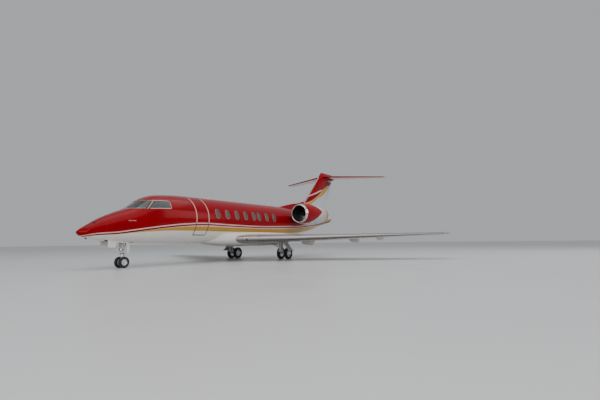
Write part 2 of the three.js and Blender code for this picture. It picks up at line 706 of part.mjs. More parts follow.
function planRegion(points, side) {
  return slab(points.map(([station, span]) => [station + NOSE_X, side * span]), ...SLAB_REACH);
}

function sideRegion(points) {
  return plate(points, -600, 600);
}

const alongSpan = (x, span, row, side) => [x + NOSE_X, side * span, row.z];
const alongHeight = (x, height) => [x + NOSE_X, 0, height];

// A pod under the flap, longer ahead of its deepest point than behind it
function trackPod(track, side, grow = 0) {
  const { span, ahead, behind, height, width } = track;
  const row = between(WING, 'span', span);
  const geometry = new THREE.SphereGeometry(1, 8, 6);
  geometry.rotateZ(Math.PI / 2);
  const points = geometry.attributes.position;
  for (let i = 0; i < points.count; i += 1) {
    const along = points.getX(i);
    points.setX(i, along * ((along < 0 ? ahead : behind) + grow));
  }
  geometry.scale(1, width / 2 + grow, height / 2 + grow);
  const deepest = row.rear + TRACK_OVERHANG - behind;
  geometry.translate(deepest + NOSE_X, side * span, row.z - TRACK_DROP - height / 2);
  return withoutSlivers(geometry);
}

function jackPad(station, y, z) {
  return bar([station + NOSE_X, y, z], [station + NOSE_X, y, z + JACK_PAD.height], JACK_PAD.radius, 20);
}

function buildWing(name, side, belly) {
  const whole = loft(WING.map((row) => wingRing(row, side)));
  const pods = FLAP_TRACKS.map((track) => trackPod(track, side));
  const aileron = surfaceParts(WING, 'span', AILERON, alongSpan, planRegion, side);
  const flapEdge = [FLAP.inner, WING[1].span, FLAP.outer].map((span) => {
    const row = between(WING, 'span', span);
    return [chordPoint(row, FLAP.hinge), span];
  });
  const rear = 15500;
  const flapCut = planRegion([...flapEdge, [rear, FLAP.outer], [rear, FLAP.inner]], side);
  const flapOwn = planRegion([
    [flapEdge[0][0] + FLAP_GAP, FLAP.inner + FLAP_GAP],
    [flapEdge[1][0] + FLAP_GAP, flapEdge[1][1]],
    [flapEdge[2][0] + FLAP_GAP, FLAP.outer - FLAP_GAP],
    [rear, FLAP.outer - FLAP_GAP],
    [rear, FLAP.inner + FLAP_GAP],
  ], side);
  const seats = FLAP_TRACKS.map((track) => trackPod(track, side, 2 * GAP));
  const flap = whole.intersect(flapOwn).subtract(joined(seats));
  let wing = whole.subtract(aileron.cut).subtract(flapCut).subtract(belly).subtract(outerGrown);
  const pad = between(WING, 'span', JACK_PAD.wingSpan);
  const padStation = chordPoint(pad, JACK_PAD.wingChord);
  wing = joined([wing, ...pods, jackPad(padStation, side * pad.span, pad.z - JACK_PAD.wingDrop)]);
  addNode(`wing_${name}`, wing, BARE_METAL);
  addNode(`flap_${name}`, flap, PAINT_WHITE);
  addNode(`aileron_${name}`, whole.intersect(aileron.own).add(aileron.nose), PAINT_WHITE);
}

function buildTail() {
  const fin = loft(FIN.map(finRing));
  const rudder = surfaceParts(FIN, 'height', RUDDER, alongHeight, sideRegion);
  const dorsal = plate(DORSAL, -DORSAL_HALF, DORSAL_HALF);
  const cap = finCap();
  addNode('fin', fin.add(dorsal).subtract(outerGrown).subtract(rudder.cut), PAINT_RED);
  addNode('rudder', fin.intersect(rudder.own).add(rudder.nose), PAINT_WHITE);
  const mirrored = [{ ...STABILIZER[1], span: -STABILIZER[1].span }, ...STABILIZER];
  const whole = loft(mirrored.map((row) => wingRing(row, 1)));
  let fixed = whole;
  for (const [name, side] of Object.entries(SIDES)) {
    const parts = surfaceParts(STABILIZER, 'span', ELEVATOR, alongSpan, planRegion, side);
    fixed = fixed.subtract(parts.cut);
    addNode(`elevator_${name}`, whole.intersect(parts.own).add(parts.nose), PAINT_RED);
  }
  addNode('stabilizer', fixed.add(cap), PAINT_RED);
}

function finCap() {
  const rings = FIN_CAP.sections.map((row) => finRing({ ...row, thickness: FIN[1].thickness }));
  return loft(rings).intersect(plate(FIN_CAP.outline, -FIN_CAP.half, FIN_CAP.half));
}

// Engines

function placed(manifold, side) {
  return manifold.translate([ENGINE.inlet + NOSE_X, side * ENGINE.y, ENGINE.z]);
}

function radial(x, length, chord, thick, pitch, angle, inner) {
  const geometry = new THREE.BoxGeometry(chord, thick, length);
  geometry.translate(0, 0, inner + length / 2);
  geometry.rotateZ(pitch);
  geometry.rotateX(angle);
  geometry.translate(x, 0, 0);
  return solid(geometry);
}

function nacelleRadiusAt(x) {
  const inner = [...NACELLE_INNER].reverse();
  const k = inner.findIndex(([along]) => along >= x);
  const [a, b] = [inner[k - 1], inner[k]];
  return a[1] + ((b[1] - a[1]) * (x - a[0])) / (b[0] - a[0]);
}

function fanRotor() {
  const { x, radius, blades, chord, thick, pitch, hub, depth, nose } = FAN;
  const tip = Math.sqrt(radius ** 2 - (chord / 2) ** 2);
  const rear = x + depth / 2;
  const body = turned([[x - nose - 60, 0], [x - nose, 60], [x - 60, hub], [rear, hub], [rear, 0]], 20, 'x');
  const set = Array.from({ length: blades }, (_, i) => (
    radial(x, tip - hub + 30, chord, thick, pitch, (2 * Math.PI * i) / blades, hub - 30)
  ));
  const bore = bar([rear - SHAFT.length, 0, 0], [rear + 5, 0, 0], SHAFT.radius + SHAFT.play, 24);
  return body.add(joined(set)).subtract(bore);
}

function engineCore() {
  const reach = nacelleRadiusAt(VANES.x) * Math.cos(Math.PI / ENGINE.sides) - 2 * GAP;
  const vanes = Array.from({ length: VANES.count }, (_, i) => {
    const angle = (2 * Math.PI * (i + 0.5)) / VANES.count;
    return radial(VANES.x, reach - VANES.root, VANES.chord, VANES.thick, 0, angle, VANES.root);
  });
  const rear = FAN.x + FAN.depth / 2;
  const stub = bar([rear - SHAFT.length + 2, 0, 0], [CORE[0][0] + 5, 0, 0], SHAFT.radius, 24);
  return turned(CORE, 20, 'x').add(joined(vanes)).add(stub);
}

function buildEngines() {
  const shell = turned([...NACELLE_OUTER, ...NACELLE_INNER, NACELLE_OUTER[0]], ENGINE.sides, 'x');
  const grown = NACELLE_OUTER.map(([x, radius]) => [x, radius + GAP]);
  const envelope = turned([[0, 0], ...grown, [NACELLE_OUTER.at(-1)[0], 0]], ENGINE.sides, 'x');
  for (const [name, side] of Object.entries(SIDES)) {
    addNode(`nacelle_${name}`, placed(shell, side), PAINT_RED);
    addNode(`fan_${name}`, placed(fanRotor(), side), BARE_METAL);
    addNode(`engine_core_${name}`, placed(engineCore(), side), BARE_METAL);
    const [y0, y1] = side < 0 ? [-PYLON.outer, -PYLON.inner] : [PYLON.inner, PYLON.outer];
    const { front, rear, thickness } = PYLON;
    const rings = [y0, y1].map((y) => aerofoilRing(front, rear, thickness, (station, rise) => (
      new THREE.Vector3(station + NOSE_X, y, ENGINE.z + rise)
    )));
    const pylon = loft(rings).subtract(outerGrown).subtract(placed(envelope, side));
    addNode(`pylon_${name}`, pylon, PAINT_RED);
  }
}

// Landing gear

// A tyre that stands on a flat facet
function tyre(gear, y, x, z) {
  const { half, rim } = gear;
  const radius = gear.tyre / Math.cos(Math.PI / TYRE_SIDES);
  const bead = half * 0.62;
  const seat = rim / Math.cos(Math.PI / TYRE_SIDES) + GAP;
  const wall = rim + (radius - rim) * 0.4;
  const profile = [
    [-bead, seat], [-half, wall], [-half * 0.9, radius - half * 0.4], [-half * 0.5, radius],
    [half * 0.5, radius], [half * 0.9, radius - half * 0.4], [half, wall], [bead, seat], [-bead, seat],
  ];
  return turned(profile, TYRE_SIDES, 'y').rotate([0, 180 / TYRE_SIDES, 0]).translate([x, y, z]);
}

// Two rims on one axle, which turns in the leg's lug
function wheelPair(gear, x, y, z) {
  const { spread, half, rim, axle } = gear;
  const [inner, outer, end] = [spread - half * 0.62, spread + half * 0.62, spread + half * 0.62 + 14];
  const right = [[0, axle], [inner, axle], [inner, rim], [outer, rim], [outer, axle], [end, axle], [end, 0]];
  const left = right.slice(1).reverse().map(([along, radius]) => [-along, radius]);
  return turned([...left, ...right.slice(1)], HUB_SIDES, 'y').translate([x, y, z]);
}

// The lug that the axle turns in, joined to its stem
function axleLug(solidStem, gear, x, y, z) {
  const { axle, lug } = gear;
  const bore = bar([x, y - lug - 5, z], [x, y + lug + 5, z], axle + PIN_PLAY, HUB_SIDES);
  return solidStem.add(bar([x, y - lug, z], [x, y + lug, z], axle * LUG_WALL, HUB_SIDES)).subtract(bore);
}

// The fixed leg, hung on a trunnion, with the drag brace that runs up and aft from it
function noseLeg(x) {
  const { pin, cylinder } = NOSE_GEAR;
  const { collar, collarHeight, bore, trunnion, brace } = NOSE_LEG;
  const ceiling = BAY.top - GAP;
  const hang = ceiling - trunnion.drop;
  const foot = x + brace.reach;
  const [blockX, blockY, blockZ] = brace.block;
  return joined([
    bar([x, 0, collar], [x, 0, ceiling], cylinder, 16),
    bar([x, 0, collar], [x, 0, collar + collarHeight], cylinder + 22, 16),
    bar([x, 0, brace.foot], [foot, 0, hang], brace.radius),
    bar([foot, -brace.half, hang], [foot, brace.half, hang], brace.pivot),
    box(foot - blockX, foot + blockX, -blockY, blockY, ceiling - blockZ, ceiling),
    bar([x, -trunnion.half, hang], [x, trunnion.half, hang], trunnion.radius),
  ]).subtract(bar([x, 0, collar - 10], [x, 0, collar + bore], pin + PIN_PLAY, 24));
}

// The strut that steers, with its torque links behind it
function noseFork(x, axleZ) {
  const { pin, cylinder } = NOSE_GEAR;
  const { collar, bore } = NOSE_LEG;
  const { reach, rise, radius, low, high } = TORQUE_LINK;
  const knee = [x + reach, 0, axleZ + rise];
  const [blockX, blockY, blockZ] = TORQUE_LINK.knee;
  const stem = joined([
    bar([x, 0, axleZ + 10], [x, 0, collar + bore - 10], pin, 24),
    bar([x, 0, collar - 70], [x, 0, collar - RUNNING_GAP], cylinder + 14, 16),
    bar(knee, [x + low[0], 0, axleZ + low[1]], radius, 8),
    bar(knee, [x + high[0], 0, collar - high[1]], radius, 8),
    box(knee[0] - blockX, knee[0] + blockX, -blockY, blockY, knee[2] - blockZ, knee[2] + blockZ),
  ]);
  return axleLug(stem, NOSE_GEAR, x, 0, axleZ);
}

function buildNoseGear() {
  const { station, spread, tyre: radius } = NOSE_GEAR;
  const x = station + NOSE_X;
  addNode('nose_gear_leg', noseLeg(x), GEAR_METAL);
  addNode('nose_gear_fork', noseFork(x, radius), GEAR_METAL);
  addNode('nose_wheels', wheelPair(NOSE_GEAR, x, 0, radius), BARE_METAL);
  for (const [name, side] of Object.entries(SIDES)) {
    addNode(`nose_tyre_${name}`, tyre(NOSE_GEAR, side * spread, x, radius), RUBBER);
    addNode(`nose_gear_door_${name}`, noseDoor(side), PAINT_WHITE);
  }
}

function noseDoor(side) {
  const { outset, half, top, outline } = NOSE_DOOR;
  const y = side * (BAY.half + outset);
  const lower = outline.map(([along, z]) => [BAY.start + along, z]);
  const upper = [[lower.at(-1)[0], top], [lower[0][0], top]];
  return plate([...lower, ...upper], y - half, y + half).subtract(outerGrown);
}

// A leg door that leans outwards over the outer tyre, and the stays that hold it to the strut
function legDoor(kneeStation, y, side) {
  const { thickness, section, stays, stay } = LEG_DOOR;
  const outside = section.map(([out, z]) => [y + side * out, z]);
  const inside = section.map(([out, z]) => [y + side * (out - thickness), z]).reverse();
  const panel = frontPlate([...outside, ...inside], kneeStation + LEG_DOOR.start, kneeStation + LEG_DOOR.end);
  const [high, low] = section;
  const bars = stays.map(([lag, z]) => {
    const out = high[0] + ((low[0] - high[0]) * (high[1] - z)) / (high[1] - low[1]) - thickness / 2;
    const x = kneeStation + lag + NOSE_X;
    return bar([x, y, z], [x, y + side * out, z], stay);
  });
  return joined([panel, ...bars]);
}

function mainLeg(x, y, z, side) {
  const { knee, kneeHalf, kneeRadius, radius, rake, top, arm, shock } = LEG;
  const { shockFoot, shockHead, crossbar, brace, braceLag, braceFoot, braceEnd } = LEG;
  const kneeX = x - LEG.lead;
  const head = top - shockHead[1];
  return joined([
    bar([kneeX, y, knee], [kneeX + rake, y, top + 120], radius, 12),
    bar([kneeX, y - kneeHalf, knee], [kneeX, y + kneeHalf, knee], kneeRadius, 12),
    bar([kneeX, y, knee], [x, y, z], arm, 12),
    bar([x - shockFoot[0], y, z + shockFoot[1]], [kneeX + shockHead[0], y, head], shock, 12),
    bar([kneeX + crossbar[0], y, head], [kneeX + crossbar[1], y, head], shock, 12),
    bar([kneeX + braceLag, y, braceFoot], [kneeX + braceLag, side * braceEnd[0], braceEnd[1]], brace, 12),
    legDoor(kneeX - NOSE_X, y, side),
  ]);
}

function buildMainGear(belly) {
  const { station, track, spread, tyre: radius } = MAIN_GEAR;
  const x = station + NOSE_X;
  for (const [name, side] of Object.entries(SIDES)) {
    const y = side * track;
    const wing = loft(WING.map((row) => wingRing(row, side))).translate([0, 0, -GAP]);
    const stem = mainLeg(x, y, radius, side).subtract(wing).subtract(belly).subtract(outerGrown);
    addNode(`main_gear_leg_${name}`, axleLug(stem, MAIN_GEAR, x, y, radius), GEAR_METAL);
    addNode(`main_wheels_${name}`, wheelPair(MAIN_GEAR, x, y, radius), BARE_METAL);
    for (const [place, way] of [['inner', -1], ['outer', 1]]) {
      addNode(`main_tyre_${name}_${place}`, tyre(MAIN_GEAR, y + side * way * spread, x, radius), RUBBER);
    }
  }
}

const bellyGrown = bellyBody(GAP);
addNode('belly_fairing', bellyBody(0).subtract(outerGrown), PAINT_WHITE);
buildCockpit();
buildCabin();
buildInterior();
buildAft();
for (const [name, side] of Object.entries(SIDES)) buildWing(name, side, bellyGrown);
buildTail();
buildEngines();
buildNoseGear();
buildMainGear(bellyGrown);

export default jet;
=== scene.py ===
"""Dresses a business jet: a smooth painted skin, glazing, cabin, engines and landing gear."""

from math import cos, pi, radians, sin, sqrt

import bmesh
import bpy
from mathutils import Matrix, Vector


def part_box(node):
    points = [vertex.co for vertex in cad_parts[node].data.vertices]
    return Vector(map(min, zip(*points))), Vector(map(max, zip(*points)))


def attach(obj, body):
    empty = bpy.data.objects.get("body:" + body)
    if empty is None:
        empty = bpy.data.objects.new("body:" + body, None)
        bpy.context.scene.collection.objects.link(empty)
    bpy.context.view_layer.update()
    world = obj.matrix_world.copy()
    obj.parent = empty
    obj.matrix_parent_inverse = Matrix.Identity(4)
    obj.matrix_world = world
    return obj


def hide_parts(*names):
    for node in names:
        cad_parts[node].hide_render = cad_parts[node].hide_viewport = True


bl_info = {
    "name": "Business jet",
    "version": (1, 0, 0),
    "blender": (4, 5, 0),
    "location": "3D View > Sidebar > Jet",
    "description": "Builds the visible pieces of a business jet around its solids",
    "category": "Object",
}

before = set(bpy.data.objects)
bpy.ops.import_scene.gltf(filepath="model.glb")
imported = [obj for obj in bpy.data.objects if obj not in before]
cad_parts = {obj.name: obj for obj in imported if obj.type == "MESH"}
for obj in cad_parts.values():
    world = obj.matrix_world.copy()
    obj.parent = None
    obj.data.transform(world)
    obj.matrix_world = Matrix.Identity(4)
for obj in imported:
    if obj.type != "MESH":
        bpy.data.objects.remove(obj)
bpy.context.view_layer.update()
NOSE_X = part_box("radome")[0].x
SIDES = {"port": -1, "starboard": 1}

# Fuselage sections in metres. Columns: station aft of the nose tip, top and bottom heights,
# half width and the power of the superellipse.
FUSELAGE = (
    (0.00, 1.440, 1.350, 0.045, 2.00),
    (0.09, 1.515, 1.280, 0.125, 2.00),
    (0.35, 1.672, 1.195, 0.285, 2.00),
    (0.90, 1.975, 1.085, 0.510, 2.00),
    (1.50, 2.225, 1.035, 0.695, 2.10),
    (2.03, 2.425, 1.000, 0.840, 2.30),
    (2.70, 2.845, 0.970, 0.975, 2.30),
    (3.10, 3.005, 0.960, 1.035, 2.25),
    (3.50, 3.065, 0.950, 1.080, 2.15),
    (4.30, 3.120, 0.935, 1.135, 2.05),
    (5.20, 3.130, 0.930, 1.150, 2.00),
    (11.30, 3.130, 0.930, 1.150, 2.00),
    (12.60, 3.110, 1.030, 1.130, 2.00),
    (14.40, 3.060, 1.340, 0.990, 2.00),
    (16.20, 2.990, 1.700, 0.730, 2.00),
    (18.00, 2.950, 2.110, 0.430, 2.00),
    (19.25, 2.905, 2.340, 0.265, 2.00),
    (19.40, 2.850, 2.400, 0.200, 2.00),
)
RADOME_END, COCKPIT_END, CABIN_END, AFT_END, TAIL_END = 0.9, 4.3, 11.3, 16.2, 19.4
WALL, AFT_WALL, FLOOR_Z = 0.070, 0.040, 1.3
SEAM = 0.0015

# Belly fairing. Columns: station, half width, bottom and top heights.
BELLY = (
    (6.10, 0.350, 0.938, 1.350),
    (6.90, 1.090, 0.860, 1.520),
    (7.80, 1.180, 0.780, 1.600),
    (9.20, 1.190, 0.750, 1.620),
    (11.60, 1.190, 0.760, 1.600),
    (12.70, 1.000, 0.880, 1.500),
    (13.70, 0.400, 1.130, 1.450),
)

# Outlines of the glass and the radius of their corners: the windshield as Y and height, the side
# window as station and height.
WINDSHIELD = ((0.040, 2.400), (0.732, 2.402), (0.596, 2.742), (0.040, 2.748))
WINDSHIELD_CORNER = 0.022
WINDSHIELD_REACH = (1.5, 2.85)
SIDE_WINDOW = ((2.550, 2.405), (3.482, 2.440), (3.504, 2.744), (2.885, 2.736))
SIDE_WINDOW_CORNER = 0.03
COCKPIT_PANE = {"inset": 0.010, "thickness": 0.010, "play": 0.001}
CABIN_PANE = {"inset": 0.018, "thickness": 0.008, "play": 0.001}
CABIN_WINDOW_STATIONS = (6.2, 6.886, 7.572, 8.258, 8.944, 9.398, 10.084, 10.770)
CABIN_WINDOW = {"z": 2.33, "half_width": 0.128, "half_height": 0.203, "power": 2.7}
DOOR = {"start": 4.815, "end": 5.570, "hinge_z": 1.314, "hinge_y": -0.85653, "top": 3.0, "gap": 0.008}
# The space that the door swings through, as a sector about its hinge: its reach in Y and its steps.
DOOR_SECTOR = {"inner": -0.25, "outer": -1.7, "steps": 24}
# Room for the turning hinge, as rods. Columns: radius, reach past each end of the door.
HINGE_ROOM = ((0.034, 0.008), (0.0078, 0.042))
HINGE_BARREL = 0.016
TREADS = {"count": 5, "thickness": 0.028, "margin": 0.09, "first": 0.12, "room_above": 0.16, "edge": 0.005}
TREAD_DEPTH = {"first": 0.15, "step": 0.03, "most": 0.21}
EXHAUST = {"start": 18.85, "z": 2.6, "outer": 0.094, "inner": 0.086, "duct": 0.095}

# Wing, fin and stabilizer sections. Columns: distance along the surface, leading and
# trailing edge stations, height of the chord and thickness as a fraction of the chord.
WING = (
    (1.00, 7.260, 11.900, 1.130, 0.105),
    (3.60, 8.985, 12.700, 1.160, 0.100),
    (9.95, 13.200, 14.500, 1.310, 0.090),
)
FIN = ((2.65, 14.790, 18.350, 0.0, 0.090), (5.64, 17.840, 19.950, 0.0, 0.105))
STABILIZER = ((0.00, 18.420, 20.300, 5.760, 0.100), (4.15, 20.010, 20.920, 5.580, 0.090))
# Fin cap sections. Columns: height, front and rear stations, thickness as a share of the fin's.
FIN_CAP = (
    (5.642, 17.850, 20.225, 1.00),
    (5.760, 17.965, 20.215, 0.98),
    (5.860, 18.070, 20.190, 0.90),
    (5.930, 18.145, 20.130, 0.76),
    (5.985, 18.210, 20.040, 0.56),
    (6.020, 18.270, 19.940, 0.36),
    (6.040, 18.340, 19.800, 0.18),
    (6.047, 18.420, 19.600, 0.02),
)
# Places along each surface where its skin has a section
WING_PLACES = (1.0, 2.0, 2.8, 3.6, 4.8, 6.4, 8.0, 9.0, 9.7, 9.95)
FIN_PLACES = (2.65, 3.1, 3.6, 4.2, 4.8, 5.3, 5.64)
STABILIZER_PLACES = (-4.15, -4.0, -2.8, -1.4, 0.0, 1.4, 2.8, 4.0, 4.15)
# Top of the ramp ahead of the fin: station, height.
DORSAL = ((12.15, 3.06), (12.9, 3.16), (14.2, 3.415), (15.6, 3.60), (16.7, 3.90))
TRAILING_EDGE = 0.008
FLAP = {"inner": 1.33, "outer": 6.7, "hinge": 0.73, "gap": 0.010}
AILERON = {"inner": 6.9, "outer": 9.35, "hinge": 0.74, "gap": 0.022}
RUDDER = {"inner": 3.12, "outer": 5.5, "hinge": 0.68, "gap": 0.040}
ELEVATOR = {"inner": 0.33, "outer": 4.02, "hinge": 0.68, "gap": 0.022}
OUTER_SLANT = 0.045
RUNNING_GAP = 0.008
NOSE_LAP = 0.007
# Flap track fairings. Columns: span, reach ahead of and behind the deepest point, height, width.
FLAP_TRACKS = (
    (2.70, 1.25, 0.42, 0.40, 0.190),
    (5.20, 1.08, 0.40, 0.34, 0.175),
    (6.50, 0.85, 0.40, 0.25, 0.155),
)
TRACK_OVERHANG = 0.38
TRACK_DROP = 0.01

# Engine, from the inlet plane. Columns: distance aft, radius.
ENGINE = {"y": 1.8, "z": 2.62, "inlet": 12.28}
NACELLE_OUTER = (
    (0.0, 0.500), (0.012, 0.522), (0.06, 0.552), (0.30, 0.610), (0.90, 0.644), (1.70, 0.618),
    (2.40, 0.520), (2.95, 0.411),
)
NACELLE_INNER = ((2.95, 0.399), (2.20, 0.450), (0.45, 0.450), (0.10, 0.458), (0.02, 0.478))
NACELLE_ZONES = {"inside": 0.462, "inner_end": 2.6, "liner_end": 2.3, "nozzle": 2.74}
CORE = ((0.76, 0.0), (0.76, 0.215), (1.30, 0.275), (2.10, 0.290), (2.75, 0.205), (3.30, 0.012), (3.30, 0.0))
SPINNER = (
    (0.292, 0.0), (0.312, 0.032), (0.40, 0.086), (0.50, 0.122), (0.56, 0.135), (0.655, 0.135), (0.655, 0.0),
)
FAN = {"x": 0.6, "tip": 0.440, "hub": 0.135, "blades": 18}
VANES = {"count": 16, "x": 0.96, "radius": 0.35, "size": (0.14, 0.008, 0.195)}
PYLON = {"front": 12.95, "rear": 15.15, "inner": 0.9, "outer": 1.28, "thickness": 0.068}

# Stripes along the fuselage, as heights. Columns: station, top of the pale line, top of the
# dark line, top of the thin pale line, top of the gold band, top of the white belly.
STRIPES = (
    (0.00, 1.262, 1.240, 1.222, 1.218, 1.214),
    (0.19, 1.295, 1.266, 1.238, 1.233, 1.228),
    (0.63, 1.380, 1.340, 1.298, 1.291, 1.285),
    (1.22, 1.428, 1.382, 1.334, 1.326, 1.318),
    (1.86, 1.523, 1.474, 1.414, 1.405, 1.386),
    (2.60, 1.632, 1.582, 1.520, 1.509, 1.446),
    (3.41, 1.737, 1.684, 1.622, 1.602, 1.490),
    (4.32, 1.825, 1.770, 1.708, 1.676, 1.500),
    (5.38, 1.876, 1.818, 1.762, 1.700, 1.500),
    (7.00, 1.850, 1.792, 1.742, 1.690, 1.488),
    (9.62, 1.828, 1.770, 1.720, 1.668, 1.492),
    (11.0, 1.858, 1.800, 1.745, 1.688, 1.482),
    (12.24, 1.897, 1.840, 1.780, 1.722, 1.480),
    (13.32, 1.925, 1.862, 1.808, 1.765, 1.500),
    (14.57, 2.070, 1.962, 1.904, 1.872, 1.600),
    (16.10, 2.420, 2.105, 2.020, 2.000, 1.680),
    (17.26, 2.700, 2.235, 2.110, 2.100, 1.850),
    (18.00, 2.920, 2.330, 2.170, 2.160, 2.000),
    (19.40, 3.120, 2.530, 2.300, 2.290, 2.200),
)
FUSELAGE_SEAMS = (0.905, 2.35, 4.3, 7.9, 9.6, 11.3, 13.05, 14.7, 16.2, 17.6)
NACELLE_SEAMS = (0.13, 1.05, 2.1, 2.72)
WING_SEAMS = (2.1, 3.6, 5.2, 6.8, 8.4)
# The post between the cockpit panes leans inwards and aft with height, in metres per metre.
POST_LEAN = {"in": -0.305, "aft": 1.012}
# Its dark mask on the skin and on the frames: half width and station at height 0, lowest and highest.
SKIN_MASK = (1.425, 0.116, 2.366, 2.772)
FRAME_MASK = (1.40, 0.145, 2.406, 2.732)
MASK_FRONT = 2.0
MASK_COLOUR = (0.035, 0.045, 0.045)
# The pale strip down the post: how far ahead of the side window it runs, and half its width.
POST_STRIP = (0.062, 0.022)
# Where the dark red under the tail begins. Columns: station, height.
UNDER_TAIL = ((16.9, 1.80), (17.26, 2.00), (17.6, 2.14), (18.0, 2.25), (19.4, 2.50))
# The gold patch on the tail cone. Columns: station, top.
TAIL_GOLD = ((16.5, 2.20), (16.8, 2.32), (17.1, 2.43), (18.2, 2.50), (19.4, 2.66))
# Lines on the fin. Columns: station, height.
FIN_GOLD_TOP = (
    (15.0, 3.28), (15.74, 3.50), (16.29, 3.66), (16.75, 3.82), (17.22, 4.04), (17.65, 4.25),
    (18.02, 4.47), (18.34, 4.69), (18.70, 4.90), (19.07, 5.13), (19.9, 5.45),
)
FIN_GOLD_BOTTOM = (
    (15.0, 3.14), (16.2, 3.46), (16.92, 3.74), (17.58, 4.06), (18.08, 4.24), (18.53, 4.46),
    (18.86, 4.67), (19.12, 4.89), (19.26, 5.03), (19.9, 5.42),
)
FIN_PINK = (
    (15.8, 3.95), (16.34, 4.11), (16.70, 4.23), (17.15, 4.37), (17.60, 4.52), (17.95, 4.64),
    (18.30, 4.76), (18.9, 5.05), (19.9, 5.75),
)
# Half height of the pale line on the fin. Columns: station, half height.
FIN_PINK_HALF = ((16.0, 0.02), (16.6, 0.035), (17.6, 0.055), (18.0, 0.045), (18.4, 0.0), (19.9, -0.01))
FIN_BAND_END = 5.15
FIN_BARE_EDGE = {"depth": 0.055, "colour": (0.33, 0.30, 0.31)}
# Edge of the red on the nacelle. Columns: height, station.
NACELLE_EDGE = (
    (1.90, 12.45), (1.99, 12.55), (2.04, 12.65), (2.08, 12.85), (2.21, 13.15), (2.39, 13.48), (2.59, 13.80),
    (2.72, 14.02), (2.80, 14.08), (2.89, 13.95), (3.04, 13.66), (3.17, 13.32), (3.30, 12.90),
)

NOSE_GEAR = {"station": 1.89, "spread": 0.145, "tyre": 0.223, "half": 0.054, "rim": 0.125}
MAIN_GEAR = {"station": 10.75, "track": 1.83, "spread": 0.245, "tyre": 0.327, "half": 0.084, "rim": 0.185}
BAY = {"start": 1.0, "end": 2.26, "half": 0.235, "top": 1.23}
# Outlines: the nose gear door as station and height, the main leg door as distance outward of the
# leg and height.
NOSE_DOOR = (
    (1.10, 0.845), (1.13, 0.820), (1.42, 0.820), (1.445, 0.860), (1.455, 1.015), (1.915, 0.985),
    (1.93, 0.620), (1.948, 0.595), (2.02, 0.595), (2.04, 0.640), (2.04, 1.20), (1.10, 1.20),
)
LEG_DOOR = ((0.091, 1.060), (0.385, 0.650), (0.600, 0.470))
LEG_DOOR_REACH = (0.04, 0.48)

PHOTO_WIDTH = 600
SENSOR = 36.0
CAMERA = {"place": (-18.929, -15.037, 1.0), "yaw": 0.564, "pitch": 0.098, "roll": -0.011, "focal_px": 415.2}
# Soft lights. Columns: place, where it points, size, watts.
LIGHTS = (
    ((-2, -6, 26), (0, 0, 0), 34, 5200),
    ((-30, -20, 12), (-6, -1, 2), 16, 3200),
    ((16, -30, 14), (6, -1, 2), 18, 2600),
)
SKY = {"colour": (0.86, 0.89, 0.93, 1), "strength": 0.5}


# Tables and curves

def spot(station, y, z):
    """A place in the frame, from its station aft of the nose tip."""
    return Vector((station + NOSE_X, y, z))


def column(rows, at, index):
    """One column of a section table at a distance, as a smooth curve through its rows."""
    last = len(rows) - 1
    k = next((i for i in range(last) if at <= rows[i + 1][0]), last - 1)

    def slope(i):
        left = rows[i][index] - rows[i - 1][index] if i > 0 else 1
        right = rows[i + 1][index] - rows[i][index] if i < last else 1
        if left * right <= 0:
            return 0
        before, after = rows[max(i - 1, 0)], rows[min(i + 1, last)]
        return (after[index] - before[index]) / (after[0] - before[0])

    p, q = rows[k], rows[k + 1]
    run, rise = q[0] - p[0], q[index] - p[index]
    t = (at - p[0]) / run
    bend_in, bend_out = slope(k) * run, slope(k + 1) * run
    square = 3 * rise - 2 * bend_in - bend_out
    return p[index] + bend_in * t + square * t * t + (bend_in + bend_out - 2 * rise) * t ** 3


def straight(rows, at):
    """A whole row at a distance, on straight lines between the rows."""
    k = next((i for i in range(1, len(rows)) if at <= rows[i][0]), len(rows) - 1)
    p, q = rows[k - 1], rows[k]
    t = (at - p[0]) / (q[0] - p[0])
    return tuple(a + (b - a) * t for a, b in zip(p, q))


def section(station):
    """Half width, middle height, half height and power of the fuselage at a station."""
    station = min(max(station, 0.0), TAIL_END)
    top, bottom, half, power = (column(FUSELAGE, station, i) for i in (1, 2, 3, 4))
    return half, (top + bottom) / 2, (top - bottom) / 2, power


def bow(value, power):
    """A sine or cosine bent towards the sides of a superellipse."""
    return (1 if value >= 0 else -1) * abs(value) ** (2 / power)


def oval(centre, half, rise, angle, power):
    """Y and height on a superellipse about a middle height, the angle counted from its top."""
    return half * bow(sin(angle), power), centre + rise * bow(cos(angle), power)


def skin_point(station, angle, inset=0.0):
    """A point on the skin, or inside it by the inset."""
    half, middle, rise, power = section(station)
    return spot(station, *oval(middle, half - inset, rise - inset, angle, power))


def skin_half(station, z, inset=0.0):
    """The fuselage's half width at a height."""
    half, middle, rise, power = section(station)
    share = min(abs((z - middle) / (rise - inset)), 1.0)
    return (half - inset) * (1 - share ** power) ** (1 / power)


def skin_station(y, z, inset=0.0):
    """The station where the windshield's slope passes a point seen from ahead."""
    low, high = WINDSHIELD_REACH[0] - 0.3, WINDSHIELD_REACH[1] + 0.5
    for _ in range(40):
        mid = (low + high) / 2
        half, middle, rise, power = section(mid)
        share = abs(y / (half - inset)) ** power + abs((z - middle) / (rise - inset)) ** power
        low, high = (mid, high) if share > 1 else (low, mid)
    return (low + high) / 2


def skin_normal(point):
    """The way that the smooth fuselage faces nearest to a point."""
    step = 0.01

    def share(x, y, z):
        half, middle, rise, power = section(x - NOSE_X)
        return abs(y / half) ** power + abs((z - middle) / rise) ** power

    x, y, z = point
    return Vector((
        share(x + step, y, z) - share(x - step, y, z),
        share(x, y + step, z) - share(x, y - step, z),
        share(x, y, z + step) - share(x, y, z - step),
    )).normalized()


